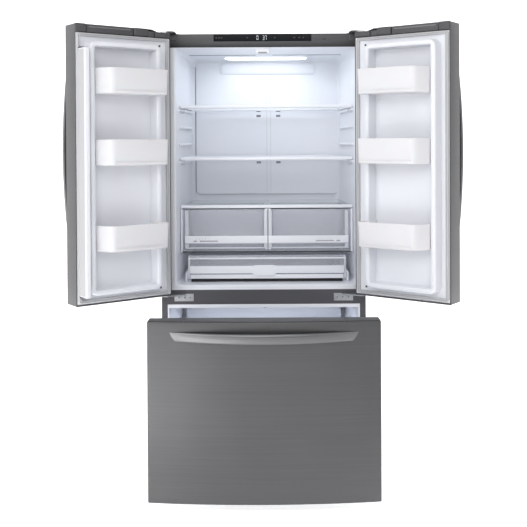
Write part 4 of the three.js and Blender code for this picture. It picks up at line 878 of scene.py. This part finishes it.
def make_pantry():
    """Wide clear drawer: drafted tub, white handle band with its taller grip, lid rail and foot line."""
    node = "pantry_drawer"
    x, (y0, y1), (bottom, top) = spans(node)
    foot, front = bottom + 0.0137, y0 + 0.008
    outline = [(x[0], front), (x[1], front), (x[1] - 0.012, y1), (x[0] + 0.012, y1)]
    loops = tub(outline, (0.014,) * 4, (foot, top), 0.003, 0.004)
    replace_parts(loft("pantry_tub", loops, node, "clear_plastic", sharp=60), node)
    y, band = (y0 + 0.0005, front + 0.0035), (foot + 0.023, foot + 0.054)
    rail = (front - 0.003, front + 0.006)
    boxes((
        ("_band", inset(x, 0.010), y, band, 0.003, "white_plastic"),
        ("_rim", inset(x, 0.004), rail, (top - 0.014, top - 0.008), 0.002, "white_plastic"),
        ("_lid_edge", inset(x, 0.002), (front - 0.001, front + 0.010), (top - 0.005, top + 0.002), 0.002,
         "clear_plastic"),
        ("_foot", inset(x, 0.012), rail, (foot + 0.001, foot + 0.018), 0.002, "white_plastic"),
        ("_shadow", inset(x, 0.014), (front + 0.012, front + 0.016), (bottom + 0.0003, foot - 0.001), 0.001,
         "shadow")), body=node, prefix="pantry")
    loops = []
    for s in np.linspace(-1.0, 1.0, 17):
        swell = min(1.0, (1 - abs(s)) / 0.22)
        flat = rounded_loop((y[0] - 0.0035 * swell, y[1] - 0.001),
                            (band[0] + 0.003 - 0.014 * swell, band[1] - 0.003 + 0.006 * swell), 0.004, 4, 2)
        loops.append(placed(flat, 0, sum(x) / 2 - 0.012 + 0.052 * s))
    loft("pantry_grip", loops, node, "white_plastic")
    for side, at, guide in (("left", x[0] + 0.001, -0.012), ("right", x[1] - 0.011, 0.013)):
        block(f"pantry_{side}_stile", (at, at + 0.010), (front - 0.002, front + 0.006),
              (foot + 0.001, top - 0.002), 0.002, "frame_plastic", node)
        block(f"pantry_{side}_guide", (at + guide, at + guide + 0.009), (front + 0.012, y1 - 0.02),
              (bottom + 0.0005, bottom + 0.040), 0.003, "white_plastic")


# --- freezer drawer insides
def make_basket(node, body, look, draft, ribs):
    """An open basket with drafted walls, a rolled rim and raised ribs down its back."""
    x, y, z = spans(node)
    outline = [(x[0], y[0]), (x[1], y[0]), (x[1], y[1]), (x[0], y[1])]
    loops = tub(outline, (0.03,) * 4, z, WALL, draft, 0.002)
    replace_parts(loft(node + "_tub", loops, body, look, sharp=60), node)
    for i in range(ribs):
        at = x[0] + (x[1] - x[0]) * (i + 1) / (ribs + 1)
        block(f"{node}_rib_{i}", around(at, 0.004), (y[1] - 0.0052, y[1] - 0.0005),
              (z[0] + 0.03, z[1] - 0.02), 0.002, look, body)


def make_drawer_liner():
    """Moulded back of the freezer drawer: flat margin and raised rounded middle."""
    x, y, z = spans("freezer_drawer_liner")
    margin = y[0] + WALL
    plate = facing(x, z, [(0.004, y[0]), (0.0, y[0] + 0.001), (0.0, margin - 0.001), (0.001, margin)], 0.003)
    shape = [(0.0, margin), (0.0012, margin + 0.002)]
    shape += [(0.0012 + i, y[1] - 0.008 + d) for i, d in quarter((0.0, 0.0), (0.008, 0.008), 5)]
    shape += [(i, y[1]) for i in (0.03, 0.09, 0.16, 0.23)]
    formed = facing(inset(spans("freezer_liner")[0], 0.022), PLUG_Z, shape, 0.024)
    skin = loft("drawer_liner_shell", plate + formed, "freezer_drawer", "white_plastic")
    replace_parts(skin, "freezer_drawer_liner")
    ring = seal_ring(corners("freezer_drawer_gasket"))
    seal = loft("drawer_seal", ring, "freezer_drawer", "gasket_rubber", ring=True)
    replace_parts(seal, "freezer_drawer_gasket")


# --- hinges and covers
def make_hinge_covers():
    """Rounded cover over each top hinge, and the screws in the middle hinges' plates."""
    case_top = corners("top_panel")[1][2]
    for sign, side in SIDES:
        low, high = corners(side + "_top_hinge")
        x = sorted((sign * (HALF - 0.002), sign * (HALF - 0.066)))
        y = (low[1] + 0.012, high[1] + 0.020)
        loops = []
        for by, z in ((0.0, case_top + 0.0004), (0.0, high[2] - 0.003), (0.002, high[2] + 0.001),
                      (0.006, high[2] + 0.003), (0.012, high[2] + 0.0034)):
            flat = rounded_loop(inset(x, by), inset(y, by), 0.016 - by * 0.5, 6, 4)
            over_door = flat[:, 1] < FRONT - 0.002
            loops.append(placed(flat, 2, np.where(over_door, max(z, high[2] - 0.004), z)))
        loft(side + "_hinge_cover", loops, "cabinet", "grey_plastic")
        skirt = sorted((sign * (HALF - 0.066), sign * (HALF - 0.026)))
        block(side + "_hinge_skirt", skirt, (FRONT - 0.004, FRONT + 0.006),
              (case_top - 0.022, case_top + 0.006), 0.004, "grey_plastic")
        z = corners(side + "_mid_hinge")[0][2] + 0.015
        for i, at in enumerate((0.300, 0.322, 0.346)):
            block(f"{side}_hinge_screw_{i}", around(sign * at, 0.0055),
                  (FRONT - 0.0028, FRONT + 0.0005), around(z, 0.0055), 0.005, "zinc_steel")
            # Painted shade: a small dark disc in the shadow finish stands for the shade in each screw's socket.
            block(f"{side}_hinge_socket_shadow_{i}", around(sign * at, 0.002),
                  (FRONT - 0.0031, FRONT - 0.002), around(z, 0.002), 0.0018, "shadow")


# --- back and machinery details
def tube(name, path, radius, look, sides=10):
    """A round tube along a path: circles square to the path's direction, with one steady up vector."""
    path = np.asarray(path, dtype=float)
    ahead = np.gradient(path, axis=0)
    ahead /= np.linalg.norm(ahead, axis=1)[:, None]
    up = np.array([0.31, 0.17, 0.93])
    across = np.cross(ahead, up)
    across /= np.linalg.norm(across, axis=1)[:, None]
    over = np.cross(across, ahead)
    angle = np.linspace(0.0, 2 * math.pi, sides, endpoint=False)
    ring = np.cos(angle)[None, :, None] * across[:, None] + np.sin(angle)[None, :, None] * over[:, None]
    return loft(name, path[:, None] + radius * ring, "cabinet", look)


def make_back_details():
    """Copper line and relay box of the compressor, screws round the machine cover and beads down the back."""
    low, high = corners("compressor")
    t = np.linspace(0.0, 1.0, 40)
    x = high[0] - 0.03 + 0.16 * t
    y = (low[1] + high[1]) / 2 + 0.035 * np.sin(5 * t)
    z = high[2] - 0.06 + 0.04 * np.sin(math.pi * t)
    tube("suction_line", np.column_stack([x, y, z]), 0.0042, "copper")
    block("relay_box", (high[0] - 0.035, high[0] - 0.002), (low[1] + 0.05, high[1] - 0.06),
          (high[2] - 0.10, high[2] - 0.045), 0.005, "black_plastic")
    x, (_, y), z = spans("machine_cover")
    for i, at in enumerate(np.linspace(*inset(x, 0.02), 8)):
        for j, height in enumerate(inset(z, 0.008)):
            block(f"cover_screw_{i}{j}", around(at, 0.004), (y - 0.001, y + 0.002),
                  around(height, 0.004), 0.0035, "zinc_steel")
    x, (_, y), z = spans("back_panel")
    for i in range(3):
        block(f"back_bead_{i}", around(x[0] + 0.14 + i * 0.275, 0.005), (y - 0.001, y + 0.0022),
              inset(z, 0.06), 0.002, "dark_sheet")


# --- stage
def area(name, place, target, size, power, colour=(1.0, 1.0, 1.0)):
    """A rectangular lamp that faces a target."""
    data = bpy.data.lights.new(name, "AREA")
    data.shape = "RECTANGLE"
    data.size, data.size_y = size
    data.energy = power
    data.color = colour
    lamp = bpy.data.objects.new(name, data)
    lamp.location = place
    lamp.rotation_euler = (Vector(place) - Vector(target)).to_track_quat("Z", "Y").to_euler()
    bpy.context.scene.collection.objects.link(lamp)


def make_sweep():
    """Pale sweep of floor and wall, which glows a little behind the object."""
    bend = np.linspace(0.1, 1.57, 10)
    depth = np.concatenate([np.linspace(-9.0, 2.0, 12), 2.0 + 2.0 * np.sin(bend), [4.0]])
    height = np.concatenate([np.zeros(12), 2.0 - 2.0 * np.cos(bend), [9.0]])
    across = np.linspace(-9.0, 9.0, 7)
    points = np.stack(np.broadcast_arrays(across[None, :], depth[:, None], height[:, None]), axis=-1)
    rows, columns = points.shape[:2]
    index = np.arange(rows * columns).reshape(rows, columns)
    quads = np.stack([index[:-1, :-1], index[:-1, 1:], index[1:, 1:], index[1:, :-1]], axis=-1)
    mesh = bpy.data.meshes.new("sweep")
    mesh.from_pydata(points.reshape(-1, 3).tolist(), [], quads.reshape(-1, 4).tolist())
    mesh.shade_smooth()
    pale = finish("pale_floor", (0.93, 0.93, 0.93), 0.7, 0.0, 3.0, 0.03, 0.0, 0.005,
                  Emission_Color=(1.0, 1.0, 1.0, 1.0))
    tree = pale.node_tree
    glow = run_along(tree, "Object", "Y", (-1.5, -0.5), (0.06, 0.60))
    tree.links.new(glow, tree.nodes["Principled BSDF"].inputs["Emission Strength"])
    mesh.materials.append(pale)
    floor = bpy.data.objects.new("sweep", mesh)
    bpy.context.scene.collection.objects.link(floor)


def make_lamps(power):
    """Soft lights round the object and the lamps inside it."""
    area("key", (-2.9, -3.6, 2.2), (0.0, -0.3, 0.8), (1.6, 3.0), 40.0)
    area("fill", (3.0, -3.4, 2.2), (0.0, -0.3, 1.0), (1.2, 2.2), 12.0)
    area("top", (-0.2, -4.0, 3.1), (0.0, -0.3, 0.7), (2.6, 2.0), 46.0)
    area("floor_glow", (-1.25, -2.0, 0.55), (-1.25, -2.0, 0.0), (1.0, 1.4), 19.0)
    area("back", (0.0, 3.2, 3.4), (0.0, 0.6, 1.0), (4.0, 2.0), 60.0)
    (x0, x1), (y0, y1), (under, _) = spans("lamp_cover")
    x, y = (x0 + x1) / 2, (y0 + y1) / 2
    _, (front, _), (foot, top) = spans("crisper_frame")
    for name, place, target, size, share in (
            ("ceiling_lamp", (x, y - 0.10, under - 0.012), (x, y - 0.16, 1.0), (0.44, 0.12), 1.0),
            ("front_glow", (x, FRONT + 0.05, under - 0.012), (x, FRONT + 0.35, 1.0), (0.6, 0.05), 0.5),
            ("freezer_lamp", (0.0, FRONT + 0.20, 0.625), (0.0, FRONT + 0.1, 0.0), (0.5, 0.2), 2.4),
            ("crisper_glow", (x, front + 0.03, top - 0.016), (x, front + 0.09, 0.8), (0.62, 0.03), 0.5),
            ("pantry_glow", (x, front + 0.01, foot - 0.002), (x, front - 0.02, 0.6), (0.66, 0.03), 0.35)):
        area(name, place, target, size, power * share, (0.86, 0.92, 1.0))


def make_stage(sizes):
    """Sweep, lights, a world that is brighter on the left, and the camera."""
    make_sweep()
    make_lamps(sizes.lamp)
    scene = bpy.context.scene
    world = bpy.data.worlds.new("studio")
    world.use_nodes = True
    tree = world.node_tree
    sky = tree.nodes["Background"]
    tree.links.new(run_along(tree, "Generated", "X", (-1.0, 1.0), (0.87, 0.35)), sky.inputs["Strength"])
    sky.inputs["Color"].default_value = (0.95, 0.96, 0.98, 1.0)
    scene.world = world
    scene.view_settings.view_transform = "Standard"
    data = bpy.data.cameras.new("camera")
    data.lens = 59.56
    data.sensor_width = 36.0
    data.shift_x, data.shift_y = 0.0009, -0.2083
    camera = bpy.data.objects.new("camera", data)
    stand = Matrix.Translation(CAMERA_PLACE) @ Matrix.Translation((0.0, FRONT, 0.0))
    aim = Matrix.Rotation(CAMERA_TURN[0], 4, "X") @ Matrix.Rotation(CAMERA_TURN[1], 4, "Z")
    camera.matrix_world = stand @ aim
    scene.collection.objects.link(camera)
    scene.camera = camera


def dress_frame():
    """Gives every node of the frame the finish of its slot."""
    for part in frame["record"]["subparts"]:
        node = frame["nodes"][part["node"]]
        node.data.materials.clear()
        node.data.materials.append(FINISHES[part["material_slot"]])


# --- operators
class FridgeOperator:
    """What all operators share: they build their pieces and say that they finished."""

    bl_options = {"REGISTER", "UNDO"}

    def execute(self, context):
        self.build(context.scene.fridge_sizes, context.scene.fridge_colours)
        return {"FINISHED"}


class FRIDGE_OT_finishes(FridgeOperator, bpy.types.Operator):
    """Make the finishes and dress the frame's nodes in them"""

    bl_idname = "fridge.finishes"
    bl_label = "Finishes"

    def build(self, sizes, colours):
        make_finishes(colours)
        dress_frame()


class FRIDGE_OT_fronts(FridgeOperator, bpy.types.Operator):
    """Make the bowed steel fronts and their handles"""

    bl_idname = "fridge.fronts"
    bl_label = "Fronts and Handles"

    def build(self, sizes, colours):
        for side in ("left", "right"):
            make_door_skin(sizes, side)
            make_door_handle(sizes, side)
        make_drawer_front(sizes)


class FRIDGE_OT_door_insides(FridgeOperator, bpy.types.Operator):
    """Make the door liners, seals, trims, bins and the folding flap"""

    bl_idname = "fridge.door_insides"
    bl_label = "Door Insides"

    def build(self, sizes, colours):
        for side in ("left", "right"):
            make_door_liner(sizes, side)
            if side == "left":
                make_flap_lugs()
            make_door_seal(side)
            make_door_trims(side)
            for level in ("lower", "middle", "upper"):
                make_bin(side, level)
        make_flap()


class FRIDGE_OT_compartment(FridgeOperator, bpy.types.Operator):
    """Make the fresh food compartment with its lamp, duct cover, ledges and display"""

    bl_idname = "fridge.compartment"
    bl_label = "Compartment"

    def build(self, sizes, colours):
        make_fresh_liner()
        make_ledges()
        make_back_wall()
        make_ceiling()
        make_control_housing()
        make_display()


class FRIDGE_OT_shelves(FridgeOperator, bpy.types.Operator):
    """Make the glass shelves, the crispers and the pantry drawer"""

    bl_idname = "fridge.shelves"
    bl_label = "Shelves and Drawers"

    def build(self, sizes, colours):
        make_shelf(sizes, "upper_shelf")
        make_shelf(sizes, "middle_shelf")
        make_crisper_frame(sizes)
        make_crisper("left")
        make_crisper("right")
        make_pantry()


class FRIDGE_OT_freezer(FridgeOperator, bpy.types.Operator):
    """Make the freezer drawer's liner, seal, basket and tray"""

    bl_idname = "fridge.freezer"
    bl_label = "Freezer Drawer"

    def build(self, sizes, colours):
        make_drawer_liner()
        make_basket("freezer_basket", "freezer_drawer", "white_plastic", 0.006, 9)
        make_basket("freezer_tray", "freezer_tray", "clear_plastic", 0.003, 5)


class FRIDGE_OT_hardware(FridgeOperator, bpy.types.Operator):
    """Make the hinge covers, screws and the details of the back"""

    bl_idname = "fridge.hardware"
    bl_label = "Hardware"

    def build(self, sizes, colours):
        make_hinge_covers()
        make_back_details()


class FRIDGE_OT_stage(FridgeOperator, bpy.types.Operator):
    """Make the floor, lights and camera"""

    bl_idname = "fridge.stage"
    bl_label = "Stage"

    def build(self, sizes, colours):
        make_stage(sizes)


OPERATORS = (FRIDGE_OT_finishes, FRIDGE_OT_fronts, FRIDGE_OT_door_insides, FRIDGE_OT_compartment,
             FRIDGE_OT_shelves, FRIDGE_OT_freezer, FRIDGE_OT_hardware, FRIDGE_OT_stage)


class FRIDGE_PT_panel(bpy.types.Panel):
    """Lists the operators and their sizes and colours."""

    bl_label = "French Door Refrigerator"
    bl_idname = "FRIDGE_PT_panel"
    bl_space_type = "VIEW_3D"
    bl_region_type = "UI"
    bl_category = "Refrigerator"

    def draw(self, context):
        for group in (context.scene.fridge_sizes, context.scene.fridge_colours):
            for name in group.__annotations__:
                self.layout.prop(group, name)
        for operator in OPERATORS:
            self.layout.operator(operator.bl_idname)


CLASSES = (FRIDGE_PG_sizes, FRIDGE_PG_colours, *OPERATORS, FRIDGE_PT_panel)


def register():
    for cls in CLASSES:
        bpy.utils.register_class(cls)
    bpy.types.Scene.fridge_sizes = PointerProperty(type=FRIDGE_PG_sizes)
    bpy.types.Scene.fridge_colours = PointerProperty(type=FRIDGE_PG_colours)


def unregister():
    del bpy.types.Scene.fridge_colours
    del bpy.types.Scene.fridge_sizes
    for cls in reversed(CLASSES):
        bpy.utils.unregister_class(cls)


def main():
    register()
    for operator in OPERATORS:
        group, name = operator.bl_idname.split(".")
        getattr(getattr(bpy.ops, group), name)()


if __name__ == "__main__":
    main()
